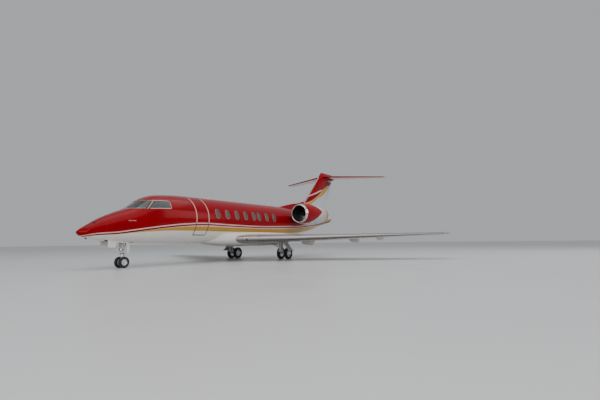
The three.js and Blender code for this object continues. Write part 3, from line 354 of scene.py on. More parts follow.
def flowing(points, steps=6):
    """Points on a smooth curve through the given ones."""
    result = []
    for k in range(len(points) - 1):
        a = Vector(points[max(k - 1, 0)])
        b, c = Vector(points[k]), Vector(points[k + 1])
        d = Vector(points[min(k + 2, len(points) - 1)])
        for i in range(steps):
            t = i / steps
            square, cube = 2 * a - 5 * b + 4 * c - d, 3 * b - a - 3 * c + d
            result.append(0.5 * (2 * b + (c - a) * t + square * t * t + cube * t ** 3))
    result.append(Vector(points[-1]))
    return result


def rounded(points, radius, steps=6):
    """A closed outline through corners rounded by a radius."""
    result = []
    count = len(points)
    for k in range(count):
        before, corner, after = (Vector(points[(k + i) % count]) for i in (-1, 0, 1))
        inward, outward = (before - corner).normalized(), (after - corner).normalized()
        start, end = corner + inward * radius, corner + outward * radius
        for i in range(steps + 1):
            t = i / steps
            result.append(start * (1 - t) ** 2 + corner * 2 * t * (1 - t) + end * t * t)
    return spread(result, 12 * steps)


def spread(points, count):
    """The same closed outline with its points evenly apart."""
    loop = points + [points[0]]
    lengths = [0.0]
    for a, b in zip(loop, loop[1:]):
        lengths.append(lengths[-1] + (b - a).length)
    result = []
    k = 0
    for i in range(count):
        at = lengths[-1] * i / count
        while lengths[k + 1] < at:
            k += 1
        t = (at - lengths[k]) / max(lengths[k + 1] - lengths[k], 1e-9)
        result.append(loop[k].lerp(loop[k + 1], t))
    return result


def widened(outline, by):
    """The outline moved outwards by a distance."""
    count = len(outline)
    middle = sum(outline, Vector((0, 0))) / count
    result = []
    for k in range(count):
        along = outline[(k + 1) % count] - outline[k - 1]
        out = Vector((along.y, -along.x)).normalized()
        if out.dot(outline[k] - middle) < 0:
            out.negate()
        result.append(outline[k] + out * by)
    return result


def cabin_window_outline(count=40):
    """A cabin window about its middle, as distance along the skin and height."""
    w, h, power = (CABIN_WINDOW[key] for key in ("half_width", "half_height", "power"))
    return [Vector(oval(0.0, w, h, 2 * pi * k / count, power)) for k in range(count)]


def cockpit_outlines():
    """The outlines of the windshield pane and of the side pane."""
    return rounded(WINDSHIELD, WINDSHIELD_CORNER), rounded(SIDE_WINDOW, SIDE_WINDOW_CORNER)


# Meshes

def wrapped(place, along, around, merge=2e-5):
    """A grid laid on a surface: place(u, v) gives its points for u and v from 0 to 1."""
    bm = bmesh.new()
    bmesh.ops.create_grid(bm, x_segments=along, y_segments=around, size=1.0)
    for vert in bm.verts:
        vert.co = place((vert.co.x + 1) / 2, (vert.co.y + 1) / 2)
    bmesh.ops.remove_doubles(bm, verts=bm.verts, dist=merge)
    bmesh.ops.dissolve_degenerate(bm, dist=merge / 2, edges=bm.edges)
    open_edges = [edge for edge in bm.edges if edge.is_boundary]
    if open_edges:
        bmesh.ops.holes_fill(bm, edges=open_edges, sides=0)
    bmesh.ops.recalc_face_normals(bm, faces=bm.faces)
    return bm


def lofted(loops):
    """A closed skin through loops that have the same number of points."""
    last, count = len(loops) - 1, len(loops[0])
    return wrapped(lambda u, v: loops[round(u * last)][round(v * count) % count], last, count)


def prism(points, reach):
    """A solid with straight sides: its outline as points in space, and the way it reaches."""
    bm = bmesh.new()
    verts = bmesh.ops.create_circle(bm, cap_ends=True, segments=len(points), radius=1.0)["verts"]
    for vert, point in zip(verts, points):
        vert.co = point
    extruded = bmesh.ops.extrude_face_region(bm, geom=bm.faces[:])["geom"]
    moved = [item for item in extruded if isinstance(item, bmesh.types.BMVert)]
    bmesh.ops.translate(bm, verts=moved, vec=Vector(reach))
    bmesh.ops.recalc_face_normals(bm, faces=bm.faces)
    return bm


def lathe(profile, centre, axis="x", steps=48):
    """A body turned about an axis, from pairs of distance along it and radius."""
    along = Vector([float(letter == axis) for letter in "xyz"])
    out = Vector((1, 0, 0)) if axis == "z" else Vector((0, 0, 1))
    bm = bmesh.new()
    verts = [bm.verts.new(Vector(centre) + along * a + out * r) for a, r in profile]
    edges = [bm.edges.new(pair) for pair in zip(verts, verts[1:])]
    bmesh.ops.spin(bm, geom=verts + edges, cent=centre, axis=along, angle=2 * pi, steps=steps, use_merge=True)
    bmesh.ops.remove_doubles(bm, verts=bm.verts, dist=1e-5)
    bmesh.ops.recalc_face_normals(bm, faces=bm.faces)
    return bm


def bar(bm, start, end, radius, end_radius=None, sides=24, edge=0.12):
    """Adds a round bar with eased ends."""
    start, end = Vector(start), Vector(end)
    along = end - start
    place = Matrix.Translation((start + end) / 2) @ along.to_track_quat("Z", "Y").to_matrix().to_4x4()
    made = bmesh.ops.create_cone(
        bm, cap_ends=True, segments=sides, depth=along.length, matrix=place,
        radius1=radius, radius2=radius if end_radius is None else end_radius)
    rims = {e for v in made["verts"] for e in v.link_edges if any(len(f.verts) > 4 for f in e.link_faces)}
    ease(bm, list(rims), min(radius * edge, 0.01))


def bars(rows, station, y=0.0, side=1):
    """Round bars about a station and a Y, from a table of bars."""
    bm = bmesh.new()
    for start, end, sides, *radii in rows:
        start, end = (spot(station + aft, y + side * out, z) for aft, out, z in (start, end))
        bar(bm, start, end, *radii, sides=sides)
    return bm


def block(bm, low, high, edge):
    """Adds a box with eased edges."""
    low, high = Vector(low), Vector(high)
    size = high - low
    place = Matrix.Translation((low + high) / 2) @ Matrix.Diagonal((*size, 1))
    made = bmesh.ops.create_cube(bm, size=1.0, matrix=place)
    if edge:
        ease(bm, list({e for v in made["verts"] for e in v.link_edges}), min(edge, min(size) * 0.4))


def ease(bm, edges, offset, segments=2):
    """Rounds edges off."""
    bmesh.ops.bevel(bm, geom=edges, offset=offset, offset_type="OFFSET", segments=segments, profile=0.5,
                    affect="EDGES", clamp_overlap=True, material=-1)


def carved(bm, cutters, operation="DIFFERENCE"):
    """The mesh after other meshes are taken away from it or kept as its limits."""
    objects = []
    for item in [bm, *cutters]:
        mesh = bpy.data.meshes.new("carving")
        item.to_mesh(mesh)
        item.free()
        objects.append(bpy.data.objects.new("carving", mesh))
        bpy.context.scene.collection.objects.link(objects[-1])
    body = objects[0]
    for cutter in objects[1:]:
        modifier = body.modifiers.new("cut", "BOOLEAN")
        modifier.object = cutter
        modifier.operation = operation
        modifier.solver = "EXACT"
    bpy.context.view_layer.update()
    depsgraph = bpy.context.evaluated_depsgraph_get()
    result = bmesh.new()
    result.from_mesh(body.evaluated_get(depsgraph).to_mesh())
    body.evaluated_get(depsgraph).to_mesh_clear()
    for item in objects:
        mesh = item.data
        bpy.data.objects.remove(item)
        bpy.data.meshes.remove(mesh)
    if not result.faces:
        raise RuntimeError("a cut left nothing of its piece")
    return result


def joined(parts):
    """Several meshes as one."""
    whole = bmesh.new()
    for part in parts:
        mesh = bpy.data.meshes.new("part")
        part.to_mesh(mesh)
        part.free()
        whole.from_mesh(mesh)
        bpy.data.meshes.remove(mesh)
    return whole


def piece(name, bm, finish, node=None, body="airframe", sharp=32, normal=None):
    """Makes a finished object of a mesh. A normal function smooths the cut skin as if whole."""
    mesh = bpy.data.meshes.new(name)
    for edge in bm.edges:
        edge.smooth = edge.is_manifold and edge.calc_face_angle(0.0) < radians(sharp)
    for face in bm.faces:
        face.smooth = True
    bm.to_mesh(mesh)
    bm.free()
    if normal:
        normals = []
        for polygon in mesh.polygons:
            for index in polygon.vertices:
                ideal = normal(mesh.vertices[index].co)
                kept = ideal.dot(polygon.normal) > cos(radians(sharp))
                normals.append(ideal if kept else polygon.normal)
        mesh.normals_split_custom_set(normals)
    obj = bpy.data.objects.new(name, mesh)
    bpy.context.scene.collection.objects.link(obj)
    for word in finish.split():
        mesh.materials.append(FINISHES[word])
    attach(obj, body)
    if node:
        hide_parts(node)
    return obj


def finish_faces(obj, choice):
    """Gives each face the finish whose number the choice returns for its centre and normal."""
    for polygon in obj.data.polygons:
        polygon.material_index = choice(polygon.center, polygon.normal)


# Materials

# Widths over which a painted edge goes from one colour to the next, and the gloss of paint
LINE_SOFT, EDGE_SOFT, BLEND_SOFT = 0.002, 0.003, 0.006
GLOSS = (0.16, 0.26)


class Recipe:
    """A node material under way: its nodes, and the object coordinates they start from."""

    def __init__(self, name, colour, roughness, metallic=0.0, coat=0.0, **extra):
        self.material = bpy.data.materials.new(name)
        self.material.use_nodes = True
        self.material.diffuse_color = (*colour[:3], 1)
        self.tree = self.material.node_tree
        self.shader = self.tree.nodes["Principled BSDF"]
        values = {"Base Color": (*colour[:3], 1), "Roughness": roughness, "Metallic": metallic,
                  "Coat Weight": coat, "Coat Roughness": 0.03, **extra}
        for key, value in values.items():
            self.shader.inputs[key].default_value = value
        self.place = self.node("TexCoord").outputs["Object"]
        split = self.node("SeparateXYZ")
        self.feed(split.inputs[0], self.place)
        self.x, self.y, self.z = split.outputs
        self.station = self.sum("ADD", self.x, -NOSE_X)

    def node(self, kind):
        return self.tree.nodes.new("ShaderNode" + kind)

    def feed(self, socket, value):
        if isinstance(value, bpy.types.NodeSocket):
            self.tree.links.new(value, socket)
        else:
            socket.default_value = value

    def sum(self, operation, a, b=0.0, c=0.0, clamp=False):
        node = self.node("Math")
        node.operation = operation
        node.use_clamp = clamp
        for socket, value in zip(node.inputs, (a, b, c)):
            self.feed(socket, value)
        return node.outputs[0]

    def curve(self, value, points):
        """A smooth curve through pairs of value and result."""
        x0, x1 = points[0][0], points[-1][0]
        y0, y1 = min(p[1] for p in points), max(p[1] for p in points)
        node = self.node("FloatCurve")
        line = node.mapping.curves[0]
        scaled = [((x - x0) / (x1 - x0), (y - y0) / (y1 - y0)) for x, y in points]
        line.points[0].location = scaled[0]
        line.points[-1].location = scaled[-1]
        for x, y in scaled[1:-1]:
            line.points.new(x, y)
        node.mapping.update()
        share = self.sum("MULTIPLY_ADD", value, 1 / (x1 - x0), -x0 / (x1 - x0), clamp=True)
        self.feed(node.inputs["Value"], share)
        return self.sum("MULTIPLY_ADD", node.outputs[0], y1 - y0, y0)

    def above(self, value, level, soft=EDGE_SOFT):
        """1 where the value is over the level, with a soft edge."""
        return self.sum("MULTIPLY_ADD", self.sum("SUBTRACT", value, level), 1 / soft, 0.5, clamp=True)

    def between(self, value, low, high):
        """1 where the value is between two levels."""
        return self.both(self.above(value, low), self.above(high, value))

    def both(self, a, b):
        return self.sum("MULTIPLY", a, b)

    def near(self, value, level, half):
        """1 within a distance of the level."""
        away = self.sum("ABSOLUTE", self.sum("SUBTRACT", value, level))
        return self.sum("MULTIPLY_ADD", away, -1 / LINE_SOFT, half / LINE_SOFT + 0.5, clamp=True)

    def lines(self, value, levels, half=0.003):
        """1 on thin lines where the value passes the levels."""
        found = self.near(value, levels[0], half)
        for level in levels[1:]:
            found = self.sum("MAXIMUM", found, self.near(value, level, half))
        return found

    def blend(self, factor, a, b):
        node = self.node("Mix")
        node.data_type = "RGBA"
        self.feed(node.inputs[0], factor)
        for socket, value in ((node.inputs[6], a), (node.inputs[7], b)):
            self.feed(socket, value if isinstance(value, bpy.types.NodeSocket) else (*value[:3], 1))
        return node.outputs[2]

    def noise(self, scale, detail=3.0, stretch=None):
        place = self.place
        if stretch:
            mapping = self.node("Mapping")
            mapping.inputs["Scale"].default_value = stretch
            self.feed(mapping.inputs[0], place)
            place = mapping.outputs[0]
        node = self.node("TexNoise")
        node.inputs["Scale"].default_value = scale
        node.inputs["Detail"].default_value = detail
        self.feed(node.inputs["Vector"], place)
        return node.outputs["Fac"]

    def range(self, value, low, high):
        node = self.node("MapRange")
        node.inputs["To Min"].default_value = low
        node.inputs["To Max"].default_value = high
        self.feed(node.inputs["Value"], value)
        return node.outputs[0]

    def colour(self, socket):
        self.feed(self.shader.inputs["Base Color"], socket)

    def roughness(self, socket):
        self.feed(self.shader.inputs["Roughness"], socket)

    def bump(self, height, strength, distance=0.001):
        """Raises the surface where the height is more, and hands over the material."""
        node = self.node("Bump")
        node.inputs["Strength"].default_value = strength
        node.inputs["Distance"].default_value = distance
        self.feed(node.inputs["Height"], height)
        self.feed(self.shader.inputs["Normal"], node.outputs[0])
        return self.material

    def weathered(self, scale, low, high, strength=0.05):
        """Slightly uneven gloss and a faint ripple, as on any painted or worn surface."""
        grain = self.noise(scale)
        self.roughness(self.range(grain, low, high))
        return self.bump(grain, strength)

    def seamed(self, colour, seams, seam_colour, share=0.5):
        """A colour with seams drawn into it."""
        self.colour(self.blend(self.both(seams, share), colour, seam_colour))


def paint(name, colour):
    """Gloss paint that reflects in its own tint."""
    tint = (1.0, 0.25, 0.22, 1.0)
    return Recipe(name, colour, 0.22, coat=0.06, **{"Specular IOR Level": 0.2, "Specular Tint": tint})


def worn_red(recipe, settings):
    """The upper red, a little darker in soft clouds."""
    cloud = recipe.range(recipe.noise(0.8, 2.0), 0.0, 0.35)
    return recipe.blend(cloud, settings.red, settings.dark_red)


def door_outline(recipe, width):
    """1 on the line painted round the door, on the port side."""
    z, station = recipe.z, recipe.station
    sides = recipe.lines(station, (DOOR["start"], DOOR["end"]), width / 2)
    height = recipe.between(z, DOOR["hinge_z"], DOOR["top"] + 0.01)
    sill = recipe.near(z, DOOR["hinge_z"] + 0.004, width / 2)
    along = recipe.between(station, DOOR["start"], DOOR["end"])
    outline = recipe.sum("MAXIMUM", recipe.both(sides, height), recipe.both(sill, along))
    return recipe.both(outline, recipe.above(0.0, recipe.y))


def post_mask(recipe, half, start, low, high):
    """1 on the post between the cockpit panes, and the station of the post's rear edge."""
    z = recipe.z
    edge = recipe.sum("MULTIPLY_ADD", z, POST_LEAN["in"], half)
    beside = recipe.above(recipe.sum("ABSOLUTE", recipe.y), edge)
    rear = recipe.sum("MULTIPLY_ADD", z, POST_LEAN["aft"], start)
    ahead = recipe.above(rear, recipe.station)
    return recipe.both(recipe.both(beside, ahead), recipe.between(z, low, high)), rear


def livery(settings):
    """The fuselage's paint: red over pale, dark, gold and white bands, with seams and the door's outline."""
    recipe = paint("fuselage_paint", settings.red)
    z, station = recipe.z, recipe.station
    levels = [recipe.curve(station, [(row[0], row[index]) for row in STRIPES]) for index in range(1, 6)]
    colour = recipe.blend(recipe.above(z, levels[4]), settings.white, settings.gold)
    # Aft of station 14.4 the pale line turns grey: painted shade, the tail cone's white paint drawn grey.
    rear = recipe.blend(recipe.above(station, 14.4, 0.8), settings.pale, settings.grey_and_shaded_white)
    uppers = (settings.pale, settings.dark_red, rear, worn_red(recipe, settings))
    for level, upper in zip(reversed(levels[:4]), uppers):
        colour = recipe.blend(recipe.above(z, level), colour, upper)

    def below(rows):
        """1 under a line, from its first station on."""
        start = recipe.above(station, rows[0][0], 0.02)
        return recipe.both(start, recipe.above(recipe.curve(station, rows), z))

    patch = recipe.both(below(TAIL_GOLD), recipe.above(z, levels[1]))
    colour = recipe.blend(patch, colour, settings.gold)
    colour = recipe.blend(below(UNDER_TAIL), colour, settings.dark_red)
    trim = recipe.blend(recipe.above(z, levels[0]), settings.seam, settings.pale)
    colour = recipe.blend(door_outline(recipe, settings.door_line), colour, trim)
    mask, post_rear = post_mask(recipe, *SKIN_MASK)
    strip = recipe.near(recipe.sum("SUBTRACT", post_rear, station), *POST_STRIP)
    post = recipe.blend(strip, MASK_COLOUR, settings.post)
    colour = recipe.blend(recipe.both(mask, recipe.above(station, MASK_FRONT)), colour, post)
    seams = recipe.lines(station, FUSELAGE_SEAMS, 0.0022)
    recipe.seamed(colour, seams, settings.seam, 0.45)
    grain = recipe.noise(45.0, 2.0)
    recipe.roughness(recipe.range(grain, *GLOSS))
    return recipe.bump(recipe.sum("SUBTRACT", recipe.both(grain, 0.12), seams), 0.35, 0.0015)


def fin_paint(settings):
    """Grey behind a gold band with an orange edge, a darker band, a swelling pale line, and red ahead."""
    recipe = paint("fin_paint", settings.red)
    z, station = recipe.z, recipe.station
    gold_top, gold_bottom, pink, half = (
        recipe.curve(station, rows) for rows in (FIN_GOLD_TOP, FIN_GOLD_BOTTOM, FIN_PINK, FIN_PINK_HALF))
    red = worn_red(recipe, settings)
    darker = recipe.blend(0.45, red, settings.dark_red)
    ending = recipe.above(z, FIN_BAND_END, 0.03)
    gold, orange = (recipe.blend(ending, colour, darker) for colour in (settings.gold, settings.orange))
    colour = settings.grey_and_shaded_white
    orange_top = recipe.sum("ADD", gold_top, 0.05)
    for level, upper in ((gold_bottom, gold), (gold_top, orange), (orange_top, darker), (pink, red)):
        colour = recipe.blend(recipe.above(z, level, BLEND_SOFT), colour, upper)
    offset = recipe.sum("ABSOLUTE", recipe.sum("SUBTRACT", z, pink))
    colour = recipe.blend(recipe.above(half, offset, BLEND_SOFT), colour, settings.pale)
    (low, low_front), (high, high_front) = (row[:2] for row in FIN)
    slope = (high_front - low_front) / (high - low)
    bare_end = recipe.sum("MULTIPLY_ADD", z, slope, low_front - low * slope)
    bare = recipe.above(recipe.sum("ADD", bare_end, FIN_BARE_EDGE["depth"]), station, BLEND_SOFT)
    recipe.colour(recipe.blend(bare, colour, FIN_BARE_EDGE["colour"]))
    return recipe.weathered(40.0, *GLOSS)


def nacelle_paint(settings):
    """Red ahead of a curved pale line, grey behind it, tan towards the nozzle."""
    recipe = paint("nacelle_paint", settings.red)
    aft = recipe.sum("SUBTRACT", recipe.station, recipe.curve(recipe.z, NACELLE_EDGE))
    colour = recipe.blend(recipe.above(aft, 0.0, BLEND_SOFT), settings.red, settings.pale)
    rearmost = recipe.above(recipe.station, ENGINE["inlet"] + 2.1, 0.5)
    rear = recipe.blend(rearmost, settings.grey_and_shaded_white, settings.tan)
    colour = recipe.blend(recipe.above(aft, 0.055, BLEND_SOFT), colour, rear)
    seams = recipe.lines(recipe.station, [ENGINE["inlet"] + at for at in NACELLE_SEAMS])
    recipe.seamed(colour, seams, settings.seam)
    recipe.roughness(recipe.range(recipe.noise(40.0), *GLOSS))
    return recipe.bump(recipe.sum("SUBTRACT", 1.0, seams), 0.4, 0.0015)


def stabilizer_paint(settings):
    """Red above and along the leading edge, pale below."""
    recipe = paint("stabilizer_paint", settings.red)
    span = recipe.sum("ABSOLUTE", recipe.y)
    behind = recipe.sum("SUBTRACT", recipe.station, recipe.curve(span, [row[:2] for row in STABILIZER]))
    chord = recipe.sum("MULTIPLY_ADD", span, -0.0434, 5.757)
    under = recipe.above(chord, recipe.z, BLEND_SOFT)
    for value, level in ((behind, 0.13), (span, 0.42)):
        under = recipe.both(under, recipe.above(value, level, BLEND_SOFT))
    recipe.colour(recipe.blend(under, settings.red, settings.white))
    return recipe.weathered(40.0, *GLOSS)


def wing_paint(settings):
    """Pale grey faces with faint panel seams."""
    recipe = Recipe("wing_paint", settings.wing_grey, 0.2, coat=0.4, metallic=0.5)
    span = recipe.sum("ABSOLUTE", recipe.y)
    behind = recipe.sum("SUBTRACT", recipe.station, recipe.curve(span, [row[:2] for row in WING]))
    seams = recipe.sum("MAXIMUM", recipe.lines(behind, (0.22,)), recipe.lines(span, WING_SEAMS))
    streaks = recipe.noise(3.0, 4.0, (0.25, 2.0, 1.0))
    grey = recipe.blend(recipe.range(streaks, 0.0, 0.3), settings.wing_grey, settings.white)
    recipe.seamed(grey, seams, settings.seam)
    recipe.roughness(recipe.range(streaks, 0.26, 0.4))
    return recipe.bump(recipe.sum("SUBTRACT", 1.0, seams), 0.3, 0.001)


def cockpit_frames():
    """Pale frames that turn dark where they border the post between the panes."""
    pale = (0.58, 0.42, 0.38)
    recipe = Recipe("cockpit_frames", pale, 0.38, metallic=0.35)
    mask, _ = post_mask(recipe, *FRAME_MASK)
    recipe.colour(recipe.blend(mask, pale, MASK_COLOUR))
    return recipe.weathered(40.0, 0.3, 0.45)


def metal(name, colour, low, high, scale=60.0):
    """Bare metal with uneven gloss."""
    recipe = Recipe(name, colour, (low + high) / 2, metallic=1.0)
    grain = recipe.noise(scale, 4.0)
    recipe.roughness(recipe.range(grain, low, high))
    return recipe.bump(grain, 0.03)


def plain(name, colour, low, high, scale=60.0, strength=0.05, vary=0.15, **extra):
    """A matte or satin surface with uneven tone and gloss."""
    recipe = Recipe(name, colour, (low + high) / 2, **extra)
    grain = recipe.noise(scale, 4.0)
    darker = tuple(value * (1 - vary) for value in colour)
    recipe.colour(recipe.blend(grain, darker, colour))
    recipe.roughness(recipe.range(grain, low, high))
    return recipe.bump(grain, strength)


def glass(name, tint, clear):
    """Tinted glass."""
    extra = {"Transmission Weight": clear, "IOR": 1.45, "Specular IOR Level": 0.4}
    recipe = Recipe(name, tint, 0.04, **extra)
    recipe.roughness(recipe.range(recipe.noise(6.0), 0.02, 0.06))
    return recipe.material


def rubber(name):
    """Worn black rubber."""
    recipe = Recipe(name, (0.012, 0.012, 0.013), 0.75)
    grain = recipe.noise(90.0, 5.0)
    recipe.colour(recipe.blend(grain, (0.008, 0.008, 0.009), (0.030, 0.029, 0.028)))
    recipe.roughness(recipe.range(grain, 0.6, 0.85))
    return recipe.bump(grain, 0.15)


def lens(name, colour, strength):
    """The glass of a lamp, with a faint glow."""
    glow = {"Emission Color": (*colour, 1), "Emission Strength": strength}
    recipe = Recipe(name, colour, 0.1, coat=1.0, **glow)
    return recipe.bump(recipe.noise(150.0), 0.05)


FINISHES = {}


def make_finishes(settings):
    """Makes every material once, under the word that the pieces call it by."""
    FINISHES.update(
        livery=livery(settings),
        fin=fin_paint(settings),
        nacelle=nacelle_paint(settings),
        stabilizer=stabilizer_paint(settings),
        wing=wing_paint(settings),
        white=paint("white_paint", settings.white).weathered(40.0, 0.2, 0.32),
        red=paint("red_paint", settings.red).weathered(40.0, *GLOSS),
        polished=metal("polished_aluminium", (0.60, 0.52, 0.49), 0.14, 0.24),
        edge=metal("polished_leading_edge", (0.36, 0.33, 0.32), 0.16, 0.26),
        # The bay's near black is painted shade: the inside of the nose gear bay drawn dark in its colour.
        bay=plain("gear_bay_painted_shade", (0.10, 0.095, 0.09), 0.5, 0.7),
        frames=cockpit_frames(),
        ledge=plain("static_ledge", (0.60, 0.30, 0.28), 0.3, 0.45, 40.0, 0.04, 0.1),
        # The static port's recess is painted shade: a near-black plate on the skin, not a hollow.
        recess=plain("static_recess", (0.09, 0.012, 0.012), 0.4, 0.6),
        rims=metal("cabin_window_rims", (0.30, 0.215, 0.19), 0.3, 0.45),
        # The fan's titanium is drawn darker than the bare metal: partly painted shade, deep in the inlet.
        titanium=metal("fan_titanium_and_shade", (0.20, 0.205, 0.22), 0.22, 0.36),
        nozzle=metal("nozzle_metal", (0.30, 0.27, 0.25), 0.3, 0.5, 12.0),
        chrome=metal("chrome_piston", (0.9, 0.9, 0.92), 0.03, 0.08),
        steel=metal("gear_fittings", (0.48, 0.49, 0.5), 0.3, 0.5),
        gear=plain("gear_paint", (0.62, 0.63, 0.64), 0.3, 0.5, 25.0, 0.08, 0.2, coat=0.2),
        rim=plain("wheel_rims", (0.66, 0.67, 0.68), 0.25, 0.4, 40.0, 0.05, 0.12, metallic=0.7),
        dark=plain("dark_fittings", (0.02, 0.02, 0.022), 0.4, 0.6),
        # The liner's near black is painted shade: the inside of the inlet drawn dark in its colour.
        liner=plain("inlet_liner_painted_shade", (0.018, 0.018, 0.02), 0.35, 0.5, 160.0, 0.2),
        tyre=rubber("tyre_rubber"),
        windshield=glass("windshield_glass", (0.17, 0.21, 0.20), 0.82),
        cabin_glass=glass("cabin_glass", (0.19, 0.17, 0.145), 0.45),
        leather=plain("seat_leather", (0.62, 0.54, 0.43), 0.4, 0.55, 120.0, 0.2, 0.12),
        carpet=plain("carpet", (0.23, 0.17, 0.12), 0.9, 1.0, 260.0, 0.6, 0.5),
        lining=plain("cabin_lining", (0.70, 0.66, 0.58), 0.5, 0.65, 80.0, 0.08, 0.08),
        trim=plain("cockpit_lining", (0.10, 0.105, 0.10), 0.6, 0.8, 80.0, 0.08, 0.1),
        panel=plain("instrument_panel", (0.05, 0.05, 0.055), 0.45, 0.6, 90.0),
        screens=Recipe("display_screens", (0.02, 0.03, 0.04), 0.08, coat=1.0).weathered(30.0, 0.05, 0.1),
        lamp=lens("lamp_lens", (0.95, 0.95, 0.9), 0.25),
        red_lamp=lens("red_lamp", (0.7, 0.02, 0.01), 0.4),
        green_lamp=lens("green_lamp", (0.01, 0.5, 0.15), 0.4),
    )


# Sizes and colours that a user would change

def metres(name, description, default, low, high):
    """A size in metres."""
    return bpy.props.FloatProperty(name=name, description=description, default=default, min=low, max=high,
                                   unit="LENGTH", subtype="DISTANCE")


def shade(name, description, default):
    """A colour of the paint."""
    return bpy.props.FloatVectorProperty(name=name, description=description, default=default, min=0, max=1,
                                         subtype="COLOR")


class JetSizes(bpy.types.PropertyGroup):
    """Small sizes that the solids leave to the visible pieces."""

    frame_width: metres("Window frame", "Width of the metal frame round a cabin window", 0.024, 0.01, 0.04)
    cockpit_frame: metres("Cockpit frame", "Width of the metal frame round a cockpit pane", 0.024, 0.01, 0.06)
    frame_proud: metres("Frame height", "How far the window frames stand off the skin", 0.003, 0.001, 0.006)
    lip_depth: metres("Inlet lip", "Depth of the polished lip on each engine", 0.13, 0.05, 0.3)
    polished_edge: metres("Leading edge", "Depth of the polished leading edge of the wings", 0.20, 0.05, 0.4)
    groove_depth: metres("Tyre groove", "Depth of the grooves round a main tyre", 0.008, 0.002, 0.012)
    floor_reach: metres("Floor", "How far the studio floor reaches", 160.0, 60.0, 400.0)


class JetColours(bpy.types.PropertyGroup):
    """Paint colours of the livery."""

    red: shade("Red", "Upper body, engines and fin", (0.27, 0.0, 0.006))
    dark_red: shade("Dark red", "Line below the pale stripe", (0.10, 0.001, 0.004))
    gold: shade("Gold", "Band along the side and fin", (0.46, 0.27, 0.055))
    pale: shade("Pale line", "Thin pale lines", (0.80, 0.44, 0.41))
    orange: shade("Orange", "Line over the gold band of the fin", (0.78, 0.36, 0.16))
    tan: shade("Tan", "Rear of the nacelles", (0.52, 0.42, 0.28))
    # Grey on the fin and at the nacelles' rear; on the tail cone's top the same grey is painted shade on
    # white paint.
    grey_and_shaded_white: shade("Grey and shaded white", "Rear of the fin and the rudder", (0.50, 0.53, 0.56))
    post: shade("Cockpit post", "Bare strip down the post between the cockpit panes", (0.40, 0.25, 0.22))
    white: shade("White", "Lower body and belly", (0.74, 0.71, 0.66))
    wing_grey: shade("Wing grey", "Upper and lower faces of the wings", (0.36, 0.34, 0.325))
    seam: shade("Seam", "Panel seams and the lower door outline", (0.09, 0.08, 0.08))
    door_line: metres("Door line", "Width of the line painted round the door", 0.046, 0.01, 0.06)
    floor: shade("Floor", "Studio floor", (0.62, 0.62, 0.62))


# Stage

def add_floor(reach, colour):
    """A pale floor under everything."""
    bm = bmesh.new()
    bmesh.ops.create_grid(bm, x_segments=8, y_segments=8, size=reach)
    mesh = bpy.data.meshes.new("floor")
    bm.to_mesh(mesh)
    bm.free()
    floor = bpy.data.objects.new("floor", mesh)
    bpy.context.scene.collection.objects.link(floor)
    recipe = Recipe("studio_floor", colour, 0.3)
    recipe.roughness(recipe.range(recipe.noise(0.6), 0.22, 0.4))
    mesh.materials.append(recipe.material)


def add_light(place, target, size, power):
    """A soft square light."""
    lamp = bpy.data.lights.new("softbox", "AREA")
    lamp.size = size
    lamp.energy = power
    obj = bpy.data.objects.new("softbox", lamp)
    obj.location = place
    obj.rotation_euler = (Vector(target) - Vector(place)).to_track_quat("-Z", "Y").to_euler()
    bpy.context.scene.collection.objects.link(obj)


def add_camera():
    """The camera of the photo."""
    camera = bpy.data.cameras.new("camera")
    camera.sensor_width = SENSOR
    camera.lens = CAMERA["focal_px"] * SENSOR / PHOTO_WIDTH
    camera.clip_end = 1000
    yaw, pitch, roll = CAMERA["yaw"], CAMERA["pitch"], CAMERA["roll"]
    ahead = Vector((cos(yaw) * cos(pitch), sin(yaw) * cos(pitch), sin(pitch)))
    right = ahead.cross(Vector((0, 0, 1))).normalized()
    up = right.cross(ahead)
    right, up = right * cos(roll) + up * sin(roll), up * cos(roll) - right * sin(roll)
    obj = bpy.data.objects.new("camera", camera)
    turn = Matrix((right, up, -ahead)).transposed()
    obj.matrix_world = Matrix.Translation(CAMERA["place"]) @ turn.to_4x4()
    bpy.context.scene.collection.objects.link(obj)
    bpy.context.scene.camera = obj


class JET_OT_stage(bpy.types.Operator):
    """Adds the pale floor, soft lights and the camera"""
    bl_idname = "jet.stage"
    bl_label = "Stage"

    def execute(self, context):
        add_floor(context.scene.jet_sizes.floor_reach, context.scene.jet_colours.floor)
        for row in LIGHTS:
            add_light(*row)
        world = bpy.data.worlds.new("studio")
        world.use_nodes = True
        background = world.node_tree.nodes["Background"]
        background.inputs["Color"].default_value = SKY["colour"]
        background.inputs["Strength"].default_value = SKY["strength"]
        context.scene.world = world
        add_camera()
        return {"FINISHED"}


# Fuselage

# How near a face lies to a plane to count as on it, and how far a face turns from the skin to count
# as looking into the room
ON_PLANE, INWARD = 0.001, -0.4
# Points round a section of the smooth skin
ROUND = 112
PAST = 0.01
ROOM_TOP = 4
WIDE = (-2, 2)


def solid_mesh(start, end, along, around=64, inset=0.0):
    """A solid stretch of fuselage, or of the space inside it."""
    return wrapped(lambda u, v: skin_point(start + (end - start) * u, 2 * pi * v, inset), along, around)


def room_box(start, end, low, high, across=WIDE):
    """A plain box between two stations and two heights."""
    bm = bmesh.new()
    block(bm, spot(start, across[0], low), spot(end, across[1], high), 0)
    return bm


def room(stretch, box):
    """The space inside a stretch of fuselage, as solid_mesh takes it, within a box."""
    return carved(solid_mesh(*stretch), [room_box(*box)], "INTERSECT")


def radome_mesh():
    """The nose, with its rows closest together at the tip."""
    def place(u, v):
        share = u * (1 - SEAM / 2 / RADOME_END)
        if share < 1e-6:
            return spot(0, 0, section(0)[1])
        return skin_point(RADOME_END * share ** 1.6, 2 * pi * v)

    return wrapped(place, 40, 96)


